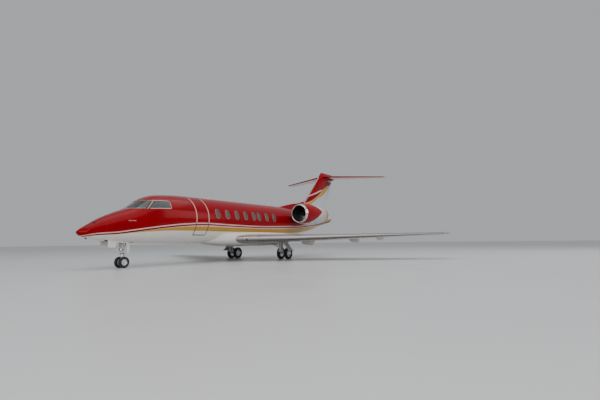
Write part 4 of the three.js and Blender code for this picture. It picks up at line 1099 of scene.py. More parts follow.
def cockpit_mesh():
    """The cockpit section, hollow, with its glass openings and the nose gear bay."""
    space = room((1.65, COCKPIT_END + PAST, 24, ROUND, WALL), (1.5, COCKPIT_END + 0.2, FLOOR_Z, ROOM_TOP))
    cutters = [space, room_box(BAY["start"], BAY["end"], 0.4, BAY["top"], (-BAY["half"], BAY["half"]))]
    ahead, behind = WINDSHIELD_REACH
    for side in SIDES.values():
        front, beside = cockpit_outlines()
        cutters.append(prism([spot(ahead, side * p.x, p.y) for p in front], (behind - ahead, 0, 0)))
        cutters.append(prism([spot(p.x, side * 0.3, p.y) for p in beside], (0, side * 1.3, 0)))
    return carved(solid_mesh(RADOME_END + SEAM / 2, COCKPIT_END - SEAM / 2, 44, ROUND), cutters)


def cockpit_finish(at, normal):
    """0 for the paint, 1 for the gear bay and 2 for the lining."""
    station = at.x - NOSE_X
    in_bay = abs(at.y) < BAY["half"] + ON_PLANE and at.z < BAY["top"] + ON_PLANE
    if in_bay and BAY["start"] - ON_PLANE < station < BAY["end"] + ON_PLANE:
        return 1
    return 2 if at.z > FLOOR_Z - ON_PLANE and normal.dot(skin_normal(at)) < INWARD else 0


def cabin_finish(at, normal):
    """1 for the faces that look into the cabin."""
    return int(normal.dot(skin_normal(at)) < INWARD or abs(at.z - FLOOR_Z) < ON_PLANE)


def whole_cabin():
    """The cabin section with its room, before doors and windows are cut."""
    space = room((COCKPIT_END - PAST, CABIN_END + PAST, 8, ROUND, WALL),
                 (COCKPIT_END - 0.2, CABIN_END + 0.2, FLOOR_Z, ROOM_TOP))
    return carved(solid_mesh(COCKPIT_END + SEAM / 2, CABIN_END - SEAM / 2, 28, ROUND), [space])


def door_region(gap):
    """The door's space: a sector about its hinge, seen along the hinge."""
    start, end = DOOR["start"] - gap, DOOR["end"] + gap
    radius = DOOR["top"] - DOOR["hinge_z"] + gap
    inner, outer, steps = DOOR_SECTOR.values()
    bottom = DOOR["hinge_z"] + DOOR["gap"] - gap
    points = [(inner, bottom), (outer, bottom)]
    for k in range(steps + 1):
        y = outer + (inner - outer) * k / steps
        points.append((y, DOOR["hinge_z"] + sqrt(radius ** 2 - (y - DOOR["hinge_y"]) ** 2)))
    return prism([spot(start, y, z) for y, z in points], (end - start, 0, 0))


def hinge_rod(radius, past):
    """A rod along the door's hinge that runs past both of the door's ends."""
    bm = bmesh.new()
    middle = spot((DOOR["start"] + DOOR["end"]) / 2, DOOR["hinge_y"], DOOR["hinge_z"])
    bmesh.ops.create_cone(bm, cap_ends=True, segments=32, radius1=radius, radius2=radius,
                          depth=DOOR["end"] - DOOR["start"] + 2 * past,
                          matrix=Matrix.Translation(middle) @ Matrix.Rotation(pi / 2, 4, "Y"))
    return bm


def cabin_mesh():
    """The cabin section with its doorway, room for the turning hinge, and windows."""
    cutters = [door_region(DOOR["gap"]), *(hinge_rod(*row) for row in HINGE_ROOM)]
    window = cabin_window_outline()
    for station in CABIN_WINDOW_STATIONS:
        for side in SIDES.values():
            outline = [spot(station + p.x, side * 0.8, CABIN_WINDOW["z"] + p.y) for p in window]
            cutters.append(prism(outline, (0, side * 0.6, 0)))
    return carved(whole_cabin(), cutters)


def add_tail_cone():
    """The tail cone, hollow, with the auxiliary exhaust in its end."""
    start, z, outer, inner, room_radius = EXHAUST.values()
    duct = bmesh.new()
    bar(duct, spot(start - 0.05, 0, z), spot(TAIL_END + 0.05, 0, z), room_radius, edge=0)
    tail = carved(solid_mesh(AFT_END + SEAM / 2, TAIL_END, 22, ROUND),
                  [solid_mesh(AFT_END - PAST, start + 0.05, 10, 48, AFT_WALL), duct])
    piece("tail_cone_skin", tail, "livery", "tail_cone", normal=skin_normal)
    profile = [(start, outer), (TAIL_END, outer), (TAIL_END, inner), (start, inner), (start, outer)]
    piece("auxiliary_exhaust", lathe(profile, spot(0, 0, z), "x", 40), "nozzle")


class JET_OT_fuselage(bpy.types.Operator):
    """Adds the smooth fuselage skin from the radome to the tail cone"""
    bl_idname = "jet.fuselage"
    bl_label = "Fuselage"

    def execute(self, context):
        make_finishes(context.scene.jet_colours)
        piece("nose_radome", radome_mesh(), "livery", "radome")
        cockpit = piece("cockpit_skin", cockpit_mesh(), "livery bay trim", "cockpit_shell",
                        normal=skin_normal)
        finish_faces(cockpit, cockpit_finish)
        cabin = piece("cabin_skin", cabin_mesh(), "livery lining", "cabin_shell",
                      normal=skin_normal)
        finish_faces(cabin, cabin_finish)
        aft = carved(solid_mesh(CABIN_END + SEAM / 2, AFT_END - SEAM / 2, 28, ROUND),
                     [solid_mesh(CABIN_END - PAST, AFT_END - AFT_WALL, 16, 64, AFT_WALL)])
        piece("aft_skin", aft, "livery", "aft_fuselage", normal=skin_normal)
        add_tail_cone()
        return {"FINISHED"}


def side_to_skin(side, centre=(0.0, 0.0)):
    """Lays points of an outline, as station and height about a centre, on the fuselage's side."""
    def to_skin(at, inset):
        station, z = centre[0] + at.x, centre[1] + at.y
        return spot(station, side * skin_half(station, z, inset), z)
    return to_skin


def front_to_skin(side):
    """Lays points of an outline, as Y and height, on the windshield's slope."""
    def to_skin(at, inset):
        return spot(skin_station(at.x, at.y, inset), side * at.x, at.y)
    return to_skin


def pane_mesh(outline, to_skin, inset, thickness, rings=3):
    """A plate that follows the skin inside an outline."""
    middle = sum(outline, Vector((0, 0))) / len(outline)
    shares = [k / rings for k in range(rings + 1)]
    path = [(share, inset) for share in shares] + [(share, inset + thickness) for share in reversed(shares)]
    return lofted([[to_skin(middle.lerp(point, share), depth) for point in outline] for share, depth in path])


def trim_ring(outline, to_skin, width, proud, depth):
    """A thin rounded frame that follows the skin around an outline."""
    profile = ((0.0, depth), (0.0, -proud * 0.6), (width * 0.18, -proud), (width * 0.82, -proud),
               (width, -proud * 0.3), (width, 0.004))
    loops = [[to_skin(point, down) for point in widened(outline, out)] for out, down in profile]
    return lofted([*loops, loops[0]])


class JET_OT_glazing(bpy.types.Operator):
    """Adds the cockpit and cabin panes with their metal frames"""
    bl_idname = "jet.glazing"
    bl_label = "Glazing"

    def execute(self, context):
        sizes = context.scene.jet_sizes
        proud = sizes.frame_proud
        inset, thickness, play = COCKPIT_PANE.values()
        for name, side in SIDES.items():
            frames = []
            panes = (("windshield", "windshield", front_to_skin(side), 0.55),
                     ("side", "cockpit_side_window", side_to_skin(side), 1.0))
            for outline, (word, node, to_skin, share) in zip(cockpit_outlines(), panes):
                pane = pane_mesh(widened(outline, -play), to_skin, inset, thickness, 5)
                piece(f"{word}_pane_{name}", pane, "windshield", f"{node}_{name}")
                frames.append(trim_ring(outline, to_skin, sizes.cockpit_frame * share, proud, 0.012))
            piece(f"cockpit_frames_{name}", joined(frames), "frames")
            add_cabin_windows(name, side, sizes.frame_width, proud)
        return {"FINISHED"}


def add_cabin_windows(name, side, width, proud):
    """The panes and frames of one side of the cabin."""
    outline = cabin_window_outline()
    inset, thickness, play = CABIN_PANE.values()
    panes, rims = [], []
    for station in CABIN_WINDOW_STATIONS:
        to_skin = side_to_skin(side, (station, CABIN_WINDOW["z"]))
        rims.append(trim_ring(outline, to_skin, width, proud, 0.03))
        panes.append(pane_mesh(widened(outline, -play), to_skin, inset, thickness))
    piece(f"cabin_window_frames_{name}", joined(rims), "rims")
    piece(f"cabin_window_panes_{name}", joined(panes), "cabin_glass", f"window_band_{name}")


# Cabin

class JET_OT_airstair(bpy.types.Operator):
    """Adds the airstair door with its treads"""
    bl_idname = "jet.airstair"
    bl_label = "Airstair"

    def execute(self, context):
        door = carved(whole_cabin(), [door_region(0.0)], "INTERSECT")
        panel = piece("airstair_panel", door, "livery lining", "airstair_door", "airstair",
                      normal=skin_normal)
        finish_faces(panel, cabin_finish)
        steps = bmesh.new()
        start, end = DOOR["start"] + TREADS["margin"], DOOR["end"] - TREADS["margin"]
        rise = (DOOR["top"] - TREADS["room_above"] - DOOR["hinge_z"]) / TREADS["count"]
        for k in range(TREADS["count"]):
            z = DOOR["hinge_z"] + TREADS["first"] + rise * k
            skin = -skin_half(DOOR["start"], z)
            inner = skin + WALL + min(TREAD_DEPTH["most"], TREAD_DEPTH["first"] + TREAD_DEPTH["step"] * k)
            foot = spot(start, skin + 0.04, z)
            block(steps, foot, spot(end, inner - 0.004, z + TREADS["thickness"]), TREADS["edge"])
        piece("airstair_treads", steps, "panel", body="airstair")
        piece("airstair_hinge_barrel", hinge_rod(HINGE_BARREL, 0.0), "steel", body="airstair")
        return {"FINISHED"}


# A chair's pads, about its place on the floor and facing forward. Columns: front, rear, half width,
# bottom, top, and how full the form is.
PADS = (
    (-0.25, 0.25, 0.20, 0.255, 0.42, 0.34),
    (0.20, 0.29, 0.20, 0.36, 0.64, 0.34),
    (0.20, 0.29, 0.20, 0.625, 0.905, 0.34),
    (0.205, 0.285, 0.15, 0.89, 1.07, 0.45),
)
ARM = {"front": -0.22, "rear": 0.19, "inner": 0.203, "outer": 0.248, "bottom": 0.27, "top": 0.425}
PEDESTAL = {"half": 0.12, "top": 0.262}
# Chairs. Columns: kind, distance from the middle, station and way faced of each pair.
CHAIRS = (("pilot", 0.48, ((3.15, 1),)), ("cabin", 0.62, ((6.5, -1), (8.0, 1), (9.35, -1), (10.35, 1))))
DECK_BOTTOM = FLOOR_Z + 0.0003
DECK_TOP = DECK_BOTTOM + 0.04
# The cockpit's fittings, as boxes. Columns: first and last station, middle Y, half width, bottom, top,
# edge. The glare shields stand before each pilot and the displays on the face of the desk.
DESK = {"start": 2.05, "end": 2.33, "top": 2.24}
CONSOLE = (2.32, 3.14, 0.0, 0.125, DECK_TOP, 1.79, 0.02)
GLARE_SHIELDS = ((2.24, 2.34, -0.48, 0.2, 2.235, 2.262, 0.01), (2.24, 2.34, 0.48, 0.2, 2.235, 2.262, 0.01))
DISPLAYS = tuple((2.332, 2.342, middle, 0.14, 1.88, 2.16, 0.004) for middle in (-0.52, -0.18, 0.18, 0.52))


def cushion(low, high, power, along=14, around=32):
    """A padded form between two corners, with crowned faces and sides that pull in between the corners."""
    centre, half = (Vector(low) + Vector(high)) / 2, (Vector(high) - Vector(low)) / 2

    def place(u, v):
        lift, turn = pi * (u - 0.5), 2 * pi * v
        reach = bow(cos(lift), power)
        x, y = half.x * reach * bow(cos(turn), power), half.y * reach * bow(sin(turn), power)
        return centre + Vector((x, y, half.z * bow(sin(lift), power)))

    return wrapped(place, along, around)


def blocks(rows):
    """The boxes of a table as one mesh."""
    bm = bmesh.new()
    for start, end, middle, half, bottom, top, edge in rows:
        block(bm, spot(start, middle - half, bottom), spot(end, middle + half, top), edge)
    return bm


def seat_meshes(station, y, z, facing):
    """The base of a chair, and its pads: cushion, back in two channels, head roll and arms."""
    half = PEDESTAL["half"]
    base = bmesh.new()
    foot = spot(station - half, y - half, z - 0.002)
    block(base, foot, spot(station + half, y + half, z + PEDESTAL["top"]), 0.02)
    pads = []
    for front, rear, wide, bottom, top, power in PADS:
        start, end = sorted((station + facing * front, station + facing * rear))
        pads.append(cushion(spot(start, y - wide, z + bottom), spot(end, y + wide, z + top), power))
    for side in SIDES.values():
        low, high = sorted((y + side * ARM["inner"], y + side * ARM["outer"]))
        pads.append(cushion(spot(station + ARM["front"], low, z + ARM["bottom"]),
                            spot(station + ARM["rear"], high, z + ARM["top"]), 0.3, 8, 20))
    return base, joined(pads)


class JET_OT_cabin(bpy.types.Operator):
    """Adds the floors, seats and instrument panel seen through the glass and the door"""
    bl_idname = "jet.cabin"
    bl_label = "Cabin"

    def execute(self, context):
        z, top = DECK_BOTTOM, DECK_TOP
        inset = WALL + 0.002
        floor = room((1.67, COCKPIT_END - 0.001, 12, 64, inset), (1.6, COCKPIT_END, z, top))
        piece("cockpit_floor", floor, "carpet", "cockpit_deck")
        inner = -skin_half(DOOR["start"], DOOR["hinge_z"]) + WALL + 0.02
        notch = room_box(DOOR["start"] - 0.02, DOOR["end"] + 0.02, z - PAST, top + PAST, (WIDE[0], inner))
        floor = room((COCKPIT_END + 0.001, CABIN_END - 0.001, 8, 64, inset),
                     (COCKPIT_END - 0.1, CABIN_END + 0.1, z, top))
        piece("cabin_floor", carved(floor, [notch]), "carpet", "cabin_deck")
        for name, out, places in CHAIRS:
            seats = [seat_meshes(station, side * out, top, facing)
                     for station, facing in places for side in SIDES.values()]
            bases, pads = zip(*seats)
            piece(f"{name}_seat_bases", joined(bases), "panel")
            piece(f"{name}_seat_cushions", joined(pads), "leather")
        desk = room((1.8, COCKPIT_END, 16, 64, WALL + 0.008), (DESK["start"], DESK["end"], z, DESK["top"]))
        piece("instrument_desk", desk, "panel")
        piece("cockpit_pedestal", blocks((CONSOLE, *GLARE_SHIELDS)), "panel")
        piece("cockpit_displays", blocks(DISPLAYS), "screens")
        return {"FINISHED"}


class JET_OT_belly(bpy.types.Operator):
    """Adds the fairing under the wing"""
    bl_idname = "jet.belly"
    bl_label = "Belly fairing"

    def execute(self, context):
        start, end = BELLY[0][0], BELLY[-1][0] - 0.02

        def place(u, v):
            station = start + (end - start) * u
            half, bottom, top = (column(BELLY, station, k) for k in (1, 2, 3))
            return spot(station, *oval((top + bottom) / 2, half, (top - bottom) / 2, 2 * pi * v, 3))

        fairing = carved(wrapped(place, 60, 96), [solid_mesh(5.5, 14.2, 30, ROUND)])
        piece("belly_skin", fairing, "livery", "belly_fairing")
        return {"FINISHED"}


# Wings and tail

def half_thickness(row, fraction):
    """Half the thickness of a section at a fraction of its chord."""
    _, front, rear, _, thickness = row
    f = fraction
    curve = 0.2969 * sqrt(f) - 0.126 * f - 0.3516 * f ** 2 + 0.2843 * f ** 3 - 0.1036 * f ** 4
    return 5 * thickness * (rear - front) * curve + TRAILING_EDGE / 2 * f


def chord_point(row, fraction):
    """The station at a fraction of a section's chord."""
    return row[1] + (row[2] - row[1]) * fraction


def aerofoil(row, place, count=26):
    """Points round a wing section, from the trailing edge over the top and back below."""
    steps = [(1 - cos(pi * k / count)) / 2 for k in range(count + 1)]
    upper = [place(chord_point(row, f), half_thickness(row, f)) for f in reversed(steps)]
    lower = [place(chord_point(row, f), -half_thickness(row, f)) for f in steps[1:]]
    return upper + lower


def surface_mesh(rows, places, side, upright=False):
    """A wing, stabilizer or fin as one solid through sections at the given places along it."""
    def placed(at):
        row = straight(rows, abs(at))
        way = side if at >= 0 else -side
        if upright:
            return aerofoil(row, lambda station, rise: spot(station, rise, row[0]))
        return aerofoil(row, lambda station, rise: spot(station, way * row[0], row[3] + rise))

    return lofted([placed(at) for at in places])


def hinged(rows, surface, side, upright=False):
    """A control surface's region, its round nose and the room that the fixed part leaves."""
    a, b = (straight(rows, surface[key]) for key in ("inner", "outer"))
    xa, xb = (chord_point(row, surface["hinge"]) for row in (a, b))
    ra, rb = (half_thickness(row, surface["hinge"]) - 0.001 for row in (a, b))
    gap = surface["gap"]
    slope = (xb - xa) / (b[0] - a[0])
    lean = sqrt(1 + slope ** 2)
    far = 1.2

    def region(points):
        if upright:
            return prism([spot(x, -0.6, at) for x, at in points], (0, 1.2, 0))
        return prism([spot(x, side * at, -0.2) for x, at in points], (0, 0, 7.2))

    own = region([(xa + NOSE_LAP, a[0]), (xa + far, a[0]), (xb + far, b[0] - OUTER_SLANT * far),
                  (xb + NOSE_LAP, b[0])])
    cut = region([(xa - (ra + RUNNING_GAP) * lean - slope * gap, a[0] - gap), (xa + far, a[0] - gap),
                  (xb + far, b[0] + gap), (xb - (rb + RUNNING_GAP) * lean + slope * gap, b[0] + gap)])
    strip = region([(xa - far, a[0]), (xa + far, a[0]), (xb + far, b[0]), (xb - far, b[0])])
    if upright:
        ends = [spot(xa, 0, a[0]), spot(xb, 0, b[0])]
    else:
        ends = [spot(xa, side * a[0], a[3]), spot(xb, side * b[0], b[3])]
    rod = bmesh.new()
    bar(rod, *ends, ra, rb, sides=40, edge=0)
    return own, carved(rod, [strip], "INTERSECT"), cut


def pod_mesh(track, side):
    """A long drop-shaped fairing over a flap track."""
    span, ahead, behind, height, width = track
    row = straight(WING, span)
    deepest = row[2] + TRACK_OVERHANG - behind
    middle = row[3] - TRACK_DROP - height / 2

    def place(u, v):
        along = -cos(pi * u)
        reach, power = (ahead, 0.5) if along < 0 else (behind, 0.62)
        size = max(1 - along ** 2, 0.0) ** power
        angle = 2 * pi * v
        return spot(deepest + along * reach, side * span + width / 2 * size * sin(angle),
                    middle + height / 2 * size * cos(angle))

    return wrapped(place, 32, 28)


def flap_regions(side):
    """The part of the wing that is cut away for the flap, and the flap's own part of it."""
    inner, kink, outer = FLAP["inner"], WING[1][0], FLAP["outer"]
    stations = [chord_point(straight(WING, at), FLAP["hinge"]) for at in (inner, kink, outer)]
    rear = 15.5

    def plan(gap):
        spans = (inner + gap, kink, outer - gap)
        points = [(x + gap, at) for x, at in zip(stations, spans)] + [(rear, spans[2]), (rear, spans[0])]
        return prism([spot(x, side * at, -0.2) for x, at in points], (0, 0, 4))

    return plan(0.0), plan(FLAP["gap"])


def add_wing_lamps(name, side):
    """The coloured lamp at the tip and the landing lamp in the leading edge."""
    front, height = straight(WING, 9.9)[1::2]
    tip, landing = bmesh.new(), bmesh.new()
    bar(tip, spot(front + 0.05, side * 9.84, height), spot(front + 0.2, side * 9.9, height), 0.03, 0.035)
    piece(f"wing_tip_lamp_{name}", tip, "red_lamp" if side < 0 else "green_lamp")
    front, height = straight(WING, 1.62)[1::2]
    start, end = (spot(front + aft, side * 1.62, height - 0.03) for aft in (0.012, 0.09))
    bar(landing, start, end, 0.055)
    piece(f"landing_lamp_{name}", landing, "dark")


class JET_OT_wings(bpy.types.Operator):
    """Adds the wings with their flaps, ailerons, track fairings and lamps"""
    bl_idname = "jet.wings"
    bl_label = "Wings"

    def execute(self, context):
        polished = context.scene.jet_sizes.polished_edge

        def wing_finish(at, normal):
            """1 for the polished leading edge."""
            span = min(max(abs(at.y), WING[0][0]), WING[-1][0])
            return int(at.x - NOSE_X - straight(WING, span)[1] < polished)

        for name, side in SIDES.items():
            own, nose, cut = hinged(WING, AILERON, side)
            flap_cut, flap_own = flap_regions(side)
            whole, flap, aileron = (surface_mesh(WING, WING_PLACES, side) for _ in range(3))
            skin = piece(f"wing_skin_{name}", carved(whole, [cut, flap_cut]), "wing edge",
                         f"wing_{name}")
            finish_faces(skin, wing_finish)
            flap = carved(flap, [flap_own], "INTERSECT")
            piece(f"flap_skin_{name}", flap, "wing", f"flap_{name}")
            aileron = joined([carved(aileron, [own], "INTERSECT"), nose])
            piece(f"aileron_skin_{name}", aileron, "wing", f"aileron_{name}",
                  f"aileron_body_{name}")
            pods = joined([pod_mesh(track, side) for track in FLAP_TRACKS])
            piece(f"flap_track_fairings_{name}", pods, "white")
            add_wing_lamps(name, side)
        return {"FINISHED"}


def dorsal_mesh():
    """The ramp ahead of the fin: a thin ridge that flares into the roof."""
    top_line = flowing(DORSAL, 10)
    base = 2.7

    def place(u, v):
        station, top = top_line[round(u * (len(top_line) - 1))]
        angle = pi * (v * 2 - 1)
        up = (1 + cos(angle)) / 2
        z = base + (top - base) * up ** 0.5
        flare = 0.10 * max(0.0, 1 - (z - base) / 0.62) ** 2
        width = (0.045 + flare) * (1 - up ** 6) ** 0.5
        return spot(station, width * (1 if angle > 0 else -1), z)

    return wrapped(place, len(top_line) - 1, 36)


def cap_mesh():
    """The fairing on top of the fin, in line with its leading edge."""
    def placed(height, front, rear, share):
        row = (height, front, rear, 0.0, FIN[1][4])
        return aerofoil(row, lambda station, rise: spot(station, rise * share, height))

    return lofted([placed(*row) for row in FIN_CAP])


class JET_OT_tail(bpy.types.Operator):
    """Adds the fin, rudder, stabilizer and elevators"""
    bl_idname = "jet.tail"
    bl_label = "Tail"

    def execute(self, context):
        own, nose, cut = hinged(FIN, RUDDER, 1, upright=True)
        fin, rudder = (surface_mesh(FIN, FIN_PLACES, 1, upright=True) for _ in range(2))
        piece("fin_skin", carved(fin, [cut]), "fin", "fin")
        piece("dorsal_ramp", dorsal_mesh(), "red")
        rudder = joined([carved(rudder, [own], "INTERSECT"), nose])
        piece("rudder_skin", rudder, "fin", "rudder", "rudder_body")
        cuts = []
        for name, side in SIDES.items():
            own, nose, cut = hinged(STABILIZER, ELEVATOR, side)
            cuts.append(cut)
            elevator = carved(surface_mesh(STABILIZER, STABILIZER_PLACES, 1), [own], "INTERSECT")
            piece(f"elevator_skin_{name}", joined([elevator, nose]), "stabilizer",
                  f"elevator_{name}", f"elevator_body_{name}")
        stabilizer = carved(surface_mesh(STABILIZER, STABILIZER_PLACES, 1), cuts)
        piece("stabilizer_skin", stabilizer, "stabilizer", "stabilizer")
        piece("fin_bullet", cap_mesh(), "red")
        return {"FINISHED"}


# Engines

def blade_mesh(angle, centre):
    """One twisted fan blade."""
    hub, tip = FAN["hub"] - 0.02, FAN["tip"]

    def place(u, v):
        radius = hub + (tip - hub) * u
        pitch = 0.45 + 0.62 * u
        chord = 0.105 + 0.05 * u
        around = 2 * pi * v
        along = chord / 2 * cos(around)
        camber = 0.012 * (1 - (along / (chord / 2)) ** 2)
        out = (0.010 - 0.006 * u) * sin(around) + camber
        axial = along * cos(pitch) - out * sin(pitch)
        across = along * sin(pitch) + out * cos(pitch)
        lift = sqrt(max(radius ** 2 - across ** 2, 0))
        return centre + Matrix.Rotation(angle, 3, "X") @ Vector((FAN["x"] + axial, across, lift))

    return wrapped(place, 10, 16)


def vanes_mesh(centre):
    """The guide vanes behind the fan, as thin blocks round the core."""
    bm = bmesh.new()
    shape = Matrix.Translation((VANES["x"], 0, VANES["radius"])) @ Matrix.Diagonal((*VANES["size"], 1))
    for k in range(VANES["count"]):
        verts = bmesh.ops.create_cube(bm, size=1.0, matrix=shape)["verts"]
        turn = Matrix.Rotation(2 * pi * (k + 0.5) / VANES["count"], 3, "X")
        bmesh.ops.rotate(bm, verts=verts, cent=(0, 0, 0), matrix=turn)
        bmesh.ops.translate(bm, verts=verts, vec=centre)
    return bm


def pylon_mesh(side):
    """The short wing that carries an engine."""
    row = (0.0, PYLON["front"], PYLON["rear"], 0.0, PYLON["thickness"])

    def placed(out):
        return aerofoil(row, lambda station, rise: spot(station, side * out, ENGINE["z"] + rise), 18)

    return lofted([placed(PYLON["inner"]), placed(PYLON["outer"])])


def add_nacelle(name, centre, lip_depth):
    """The hollow nacelle: paint, polished lip, inlet liner drawn near black as painted shade, and bare
    nozzle.
    """
    zones = NACELLE_ZONES

    def nacelle_finish(at, normal):
        offset = at - centre
        radial = Vector((0, offset.y, offset.z))
        faces_in = offset.x < zones["inner_end"] or normal.dot(radial) < 0
        if offset.x < lip_depth:
            return 1
        if radial.length < zones["inside"] and faces_in:
            return 2 if offset.x < zones["liner_end"] else 3
        return 3 if offset.x > zones["nozzle"] else 0

    profile = [*flowing(NACELLE_OUTER), *flowing(NACELLE_INNER)]
    shell = lathe([*profile, profile[0]], centre, "x", 96)
    nacelle = piece(f"nacelle_skin_{name}", shell, "nacelle polished liner nozzle",
                    f"nacelle_{name}", sharp=50)
    finish_faces(nacelle, nacelle_finish)


class JET_OT_engines(bpy.types.Operator):
    """Adds the nacelles, fans, cores and pylons"""
    bl_idname = "jet.engines"
    bl_label = "Engines"

    def execute(self, context):
        for name, side in SIDES.items():
            centre = spot(ENGINE["inlet"], side * ENGINE["y"], ENGINE["z"])
            add_nacelle(name, centre, context.scene.jet_sizes.lip_depth)
            spinner = lathe([*flowing(SPINNER[:5], 5), *SPINNER[5:]], centre)
            piece(f"fan_spinner_{name}", spinner, "dark", f"fan_{name}", f"fan_rotor_{name}")
            blades = joined([blade_mesh(2 * pi * k / FAN["blades"], centre) for k in range(FAN["blades"])])
            piece(f"fan_blades_{name}", blades, "titanium", body=f"fan_rotor_{name}")
            core = lathe([CORE[0], *flowing(CORE[1:6]), CORE[6]], centre, "x", 56)
            piece(f"engine_core_skin_{name}", core, "nozzle", f"engine_core_{name}")
            piece(f"guide_vanes_{name}", vanes_mesh(centre), "titanium")
            piece(f"pylon_skin_{name}", pylon_mesh(side), "red", f"pylon_{name}")
        return {"FINISHED"}


# Landing gear. A table of bars has for each bar its two ends, its number of sides, its radius, and the
# radius of its far end where that differs. An end is given as distance aft, distance outward and
# height: aft of the nose wheels or of the main leg's knee, and outward of the leg.

NOSE_HANG = BAY["top"] - 0.0453
NOSE_LEG = (
    ((0, 0, 0.70), (0, 0, BAY["top"] - 0.002), 40, 0.060),
    ((0, 0, 0.645), (0, 0, 0.71), 40, 0.084),
    ((0, 0, 0.90), (0, 0, 0.95), 40, 0.070),
    ((0, 0, 0.72), (0.32, 0, NOSE_HANG), 24, 0.026),
    ((0.32, -0.15, NOSE_HANG), (0.32, 0.15, NOSE_HANG), 24, 0.03),
    ((0, -0.18, NOSE_HANG), (0, 0.18, NOSE_HANG), 24, 0.038),
    ((0.17, -0.035, 0.96), (0.17, 0.035, 0.96), 24, 0.034),
    ((-0.02, -0.05, 0.80), (-0.02, -0.05, 1.15), 12, 0.010),
    ((-0.02, 0.05, 0.80), (-0.02, 0.05, 1.15), 12, 0.010),
)
TAXI_HOUSING = (((-0.13, 0.105, 0.735), (-0.05, 0.105, 0.735), 32, 0.052, 0.03),)
TAXI_LAMP = (((-0.136, 0.105, 0.735), (-0.129, 0.105, 0.735), 32, 0.046),)
NOSE_PISTON = (((0, 0, 0.283), (0, 0, 0.60), 40, 0.045),)
NOSE_FORK = (
    ((0, 0, 0.572), (0, 0, 0.632), 40, 0.076),
    ((0.11, -0.02, 0.448), (0.06, -0.02, 0.283), 12, 0.011),
    ((0.11, -0.02, 0.448), (0.05, -0.02, 0.60), 12, 0.011),
    ((0.11, 0.02, 0.448), (0.06, 0.02, 0.283), 12, 0.011),
    ((0.11, 0.02, 0.448), (0.05, 0.02, 0.60), 12, 0.011),
    ((0.11, -0.03, 0.448), (0.11, 0.03, 0.448), 16, 0.014),
    ((0.03, -0.028, 0.278), (0.07, -0.028, 0.278), 16, 0.014),
    ((0, 0, 0.243), (0, 0, 0.323), 32, 0.052, 0.047),
    ((0, -0.043, 0.223), (0, 0.043, 0.223), 32, 0.037),
)
NOSE_YOKE = (
    ((0, -0.125, 0.56), (0, 0.125, 0.56), 24, 0.022),
    ((0, 0, 0.535), (0, 0, 0.585), 32, 0.06),
)
# The main leg's tables start from its knee, this far ahead of the wheels.
KNEE = 0.43
MAIN_LEG = (
    ((0, 0, 0.47), (0.055, 0, 1.13), 40, 0.070),
    ((0.02, 0, 0.74), (0.026, 0, 0.80), 40, 0.080),
    ((0, -0.075, 0.47), (0, 0.075, 0.47), 32, 0.060),
    ((0, 0, 0.47), (KNEE, 0, 0.327), 32, 0.050),
    ((KNEE, -0.074, 0.327), (KNEE, 0.074, 0.327), 32, 0.063),
    ((0.02, 0, 0.64), (0.02, -0.71, 0.905), 24, 0.030),
    ((0.03, 0, 0.75), (-0.13, -0.53, 0.90), 24, 0.018),
)
SHOCK_PISTON = (((0.28, 0, 0.387), (0.23, 0, 0.60), 32, 0.026),)
SHOCK = (
    ((0.235, 0, 0.56), (0.13, 0, 1.02), 32, 0.040),
    ((0.04, 0, 1.02), (0.17, 0, 1.02), 24, 0.038),
    ((0.28, -0.05, 0.397), (0.28, 0.05, 0.397), 24, 0.030),
    ((0.07, -0.03, 0.56), (0.09, -0.03, 1.05), 10, 0.008),
    ((0.07, 0.03, 0.56), (0.09, 0.03, 1.05), 10, 0.008),
)
DOOR_STAYS = (
    ((0.075, 0, 0.90), (0.075, 0.199, 0.90), 24, 0.020),
    ((0.075, 0, 0.79), (0.075, 0.277, 0.79), 24, 0.020),
)
# The bead of a rim and tyre lies at this share of the tyre's half width
BEAD = 0.62
RIM_HOLES = 9


def tyre_mesh(gear, centre, groove):
    """A tyre with rounded walls and four grooves."""
    radius, half, rim = gear["tyre"], gear["half"], gear["rim"]
    height = radius - rim
    wall = flowing([
        (-half * BEAD, rim + 0.002), (-half * 0.92, rim + height * 0.22), (-half, rim + height * 0.45),
        (-half * 0.94, radius - half * 0.30), (-half * 0.72, radius - 0.004)], 5)
    profile = list(wall)
    wide = half * 0.045
    for at in (-0.42, -0.14, 0.14, 0.42):
        middle = half * at
        profile += [(middle - wide, radius), (middle - wide * 0.6, radius - groove),
                    (middle + wide * 0.6, radius - groove), (middle + wide, radius)]
    profile += [(-a, r) for a, r in reversed(wall)]
    return lathe([*profile, profile[0]], centre, "y", 72)


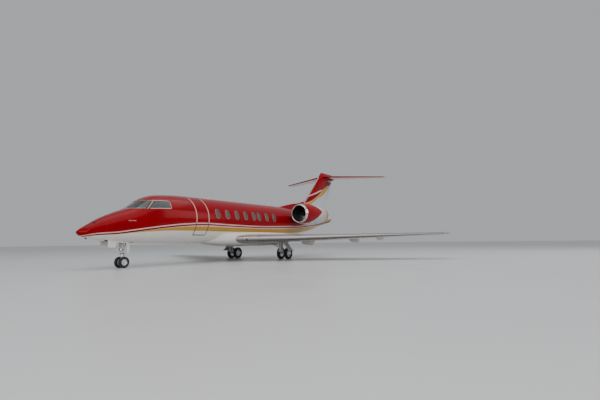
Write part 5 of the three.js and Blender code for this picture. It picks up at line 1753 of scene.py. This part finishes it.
def rim_mesh(gear, centre, way):
    """One wheel rim: flanges, a dished web with holes, and a hub cap, facing outwards."""
    rim, bead = gear["rim"], gear["half"] * BEAD
    centre = Vector(centre)
    flange = [(-1, 0.0), (-1, 0.30), (-1, 0.985), (-0.8, 1), (-0.55, 0.9), (0.45, 0.9), (0.8, 1), (1, 0.985),
              (1, 0.9), (0.55, 0.84), (0.15, 0.72), (0.1, 0.52), (0.5, 0.42), (0.9, 0.36)]
    cap = [(bead + 0.008, rim * 0.30), (bead + 0.012, rim * 0.18), (bead + 0.012, 0.0)]
    disc = lathe([(bead * a, rim * r) for a, r in flange] + cap, centre, "y", 56)

    def pegs(bm, shift, out, start, end, radius, sides):
        """Small round bars in a ring about the hub."""
        for k in range(RIM_HOLES):
            angle = 2 * pi * (k + shift) / RIM_HOLES
            at = centre + Vector((sin(angle), 0, cos(angle))) * rim * out
            reach = Vector((0, bead, 0))
            bar(bm, at + reach * start, at + reach * end, rim * radius, sides=sides, edge=0)

    holes = bmesh.new()
    pegs(holes, 0, 0.62, 0.02, 1.2, 0.085, 16)
    disc = carved(disc, [holes])
    pegs(disc, 0.5, 0.34, 0.7, 1.12, 0.03, 8)
    if way < 0:
        bmesh.ops.scale(disc, verts=disc.verts, vec=(1, -1, 1), space=Matrix.Translation(-centre))
        bmesh.ops.reverse_faces(disc, faces=disc.faces)
    return disc


def add_wheels(name, gear, y, body, node, tyres, groove):
    """Two rims on one axle with their tyres."""
    bead = gear["half"] * BEAD

    def hub(way, inwards=0.0):
        return spot(gear["station"], y + way * (gear["spread"] - inwards), gear["tyre"])

    rims = [rim_mesh(gear, hub(way), way) for way in (-1, 1)]
    axle = bmesh.new()
    bar(axle, hub(-1, bead * 0.5), hub(1, bead * 0.5), gear["rim"] * 0.19)
    piece(f"{name}_rims", joined([*rims, axle]), "rim", node, body)
    for way, tyre in tyres:
        mesh = tyre_mesh(gear, hub(way), groove)
        piece(f"{tyre}_rubber", mesh, "tyre", tyre, body, sharp=40)


def add_taxi_lamps(station):
    """Two lamps on a bracket across the nose leg."""
    housings, lamps = ([bars(rows, station, side=side) for side in SIDES.values()]
                       for rows in (TAXI_HOUSING, TAXI_LAMP))
    low, high = 0.722, 0.75
    bracket = bmesh.new()
    for side in SIDES.values():
        inner, outer = sorted((side * 0.03, side * 0.10))
        block(bracket, spot(station - 0.09, inner, low), spot(station - 0.07, outer, high), 0.004)
    block(bracket, spot(station - 0.09, -0.03, low), spot(station - 0.05, 0.03, high), 0.004)
    piece("taxi_lamp_housings", joined([*housings, bracket]), "steel")
    piece("taxi_lamps", joined(lamps), "lamp")


def nose_door(side):
    """A gear door beside the nose wheels, cut to the fuselage."""
    y = side * (BAY["half"] + 0.012)
    outline = rounded(NOSE_DOOR, 0.014, 4)
    door = prism([spot(p.x, y - 0.008, p.y) for p in outline], (0, 0.016, 0))
    return carved(door, [solid_mesh(0.5, 3.0, 14, ROUND, -0.001)])


class JET_OT_nose_gear(bpy.types.Operator):
    """Adds the nose leg, its steered strut, wheels, doors and lamps"""
    bl_idname = "jet.nose_gear"
    bl_label = "Nose gear"

    def execute(self, context):
        station, radius = NOSE_GEAR["station"], NOSE_GEAR["tyre"]
        piece("nose_leg", bars(NOSE_LEG, station), "gear", "nose_gear_leg")
        add_taxi_lamps(station)
        fork = bars(NOSE_FORK, station)
        lug = spot(station - 0.035, -0.03, radius - 0.02)
        block(fork, lug, spot(station + 0.07, 0.03, radius + 0.045), 0.012)
        piston = bars(NOSE_PISTON, station)
        piece("nose_piston", piston, "chrome", "nose_gear_fork", "nose_steering")
        piece("nose_fork", fork, "gear", body="nose_steering")
        piece("nose_steering_yoke", bars(NOSE_YOKE, station), "dark", body="nose_steering")
        tyres = [(side, f"nose_tyre_{name}") for name, side in SIDES.items()]
        add_wheels("nose_wheel", NOSE_GEAR, 0.0, "nose_wheel_pair", "nose_wheels", tyres,
                   context.scene.jet_sizes.groove_depth * 0.6)
        for name, side in SIDES.items():
            piece(f"nose_door_{name}", nose_door(side), "white", f"nose_gear_door_{name}")
        return {"FINISHED"}


def leg_door(knee, y, side, thickness=0.013):
    """The door on a main leg: a plate that leans out from the wing and hangs down outside the tyre."""
    line = flowing(LEG_DOOR)
    outside = [(y + side * out, z) for out, z in line]
    inside = [(y + side * (out - thickness), z) for out, z in reversed(line)]
    start, end = LEG_DOOR_REACH
    return prism([spot(knee + start, *point) for point in outside + inside], (end - start, 0, 0))


class JET_OT_main_gear(bpy.types.Operator):
    """Adds the main legs, wheels and leg doors"""
    bl_idname = "jet.main_gear"
    bl_label = "Main gear"

    def execute(self, context):
        knee = MAIN_GEAR["station"] - KNEE
        groove = context.scene.jet_sizes.groove_depth
        for name, side in SIDES.items():
            y = side * MAIN_GEAR["track"]
            leg, piston, shock, stays = (
                bars(rows, knee, y, side) for rows in (MAIN_LEG, SHOCK_PISTON, SHOCK, DOOR_STAYS))
            piece(f"main_leg_{name}", leg, "gear", f"main_gear_leg_{name}")
            piece(f"main_shock_piston_{name}", piston, "chrome")
            piece(f"main_shock_{name}", shock, "steel")
            piece(f"main_leg_door_{name}", leg_door(knee, y, side), "white")
            piece(f"main_door_stays_{name}", stays, "steel")
            tyres = [(-side, f"main_tyre_{name}_inner"), (side, f"main_tyre_{name}_outer")]
            add_wheels(f"main_wheel_{name}", MAIN_GEAR, y, f"main_wheel_pair_{name}",
                       f"main_wheels_{name}", tyres, groove)
        return {"FINISHED"}


# Fittings on the skin

# Blade aerials. Columns: station, height of the foot, height of the tip, depth at the foot.
AERIALS = ((11.6, 3.10, 3.34, 0.16), (6.6, 3.10, 3.24, 0.10), (5.2, 0.95, 0.86, 0.16))
# Probes, as a table of bars from the nose tip
PROBES = (
    ((0.33, 0, 1.22), (0.38, 0, 1.15), 20, 0.030, 0.022),
    ((0.58, -0.16, 1.765), (0.61, -0.17, 1.81), 20, 0.045, 0.030),
)
BEACON = ((0.0, 0.0), (0.0, 0.05), (0.03, 0.045), (0.06, 0.02), (0.066, 0.0))
# The static port's plates. Columns: name, bottom and top from the middle, how far it stands off the skin.
STATIC_PORT = {"station": 1.79, "z": 1.85, "half": 0.14, "thickness": 0.008, "corner": 0.006}
# The recess is a dark plate standing off the skin; its near black is painted shade.
STATIC_PLATES = (("ledge", 0.010, 0.026, 0.004), ("recess", -0.026, 0.006, 0.002))


def aerial_mesh(station, root, tip, depth):
    """A thin swept blade."""
    front, rear = station + depth * 0.65, station + depth * 1.15
    points = [(station, root), (station + depth, root), (rear, tip), (front, tip)]
    blade = prism([spot(s, -0.008, z) for s, z in points], (0, 0.016, 0))
    ease(blade, blade.edges[:], 0.004)
    return blade


class JET_OT_fittings(bpy.types.Operator):
    """Adds the probes, aerials and beacons on the skin"""
    bl_idname = "jet.fittings"
    bl_label = "Fittings"

    def execute(self, context):
        piece("blade_aerials", joined([aerial_mesh(*row) for row in AERIALS]), "white")
        piece("probes", bars(PROBES, 0.0), "dark")
        half, thickness, corner = (STATIC_PORT[key] for key in ("half", "thickness", "corner"))
        for name, side in SIDES.items():
            to_skin = side_to_skin(side, (STATIC_PORT["station"], STATIC_PORT["z"]))
            for word, low, high, proud in STATIC_PLATES:
                outline = rounded(((-half, low), (half, low), (half, high), (-half, high)), corner, 4)
                plate = pane_mesh(outline, to_skin, -proud, thickness)
                piece(f"static_{word}_{name}", plate, word)
        piece("beacon", lathe(BEACON, spot(8.6, 0, 3.125), "z", 28), "red_lamp")
        return {"FINISHED"}


class JET_PT_pieces(bpy.types.Panel):
    """Lists the jet's pieces, sizes and colours"""
    bl_idname = "JET_PT_pieces"
    bl_label = "Business jet"
    bl_space_type = "VIEW_3D"
    bl_region_type = "UI"
    bl_category = "Jet"

    def draw(self, context):
        for group in (context.scene.jet_sizes, context.scene.jet_colours):
            for key in group.__annotations__:
                self.layout.prop(group, key)
        for operator in OPERATORS:
            self.layout.operator(operator.bl_idname)


OPERATORS = (
    JET_OT_stage, JET_OT_fuselage, JET_OT_glazing, JET_OT_airstair, JET_OT_cabin, JET_OT_belly, JET_OT_wings,
    JET_OT_tail, JET_OT_engines, JET_OT_nose_gear, JET_OT_main_gear, JET_OT_fittings,
)
CLASSES = (JetSizes, JetColours, *OPERATORS, JET_PT_pieces)


def register():
    for item in CLASSES:
        bpy.utils.register_class(item)
    bpy.types.Scene.jet_sizes = bpy.props.PointerProperty(type=JetSizes)
    bpy.types.Scene.jet_colours = bpy.props.PointerProperty(type=JetColours)


def unregister():
    del bpy.types.Scene.jet_sizes
    del bpy.types.Scene.jet_colours
    for item in reversed(CLASSES):
        bpy.utils.unregister_class(item)


def main():
    register()
    for operator in OPERATORS:
        group, name = operator.bl_idname.split(".")
        getattr(getattr(bpy.ops, group), name)()
    bpy.context.view_layer.update()


if __name__ == "__main__":
    main()
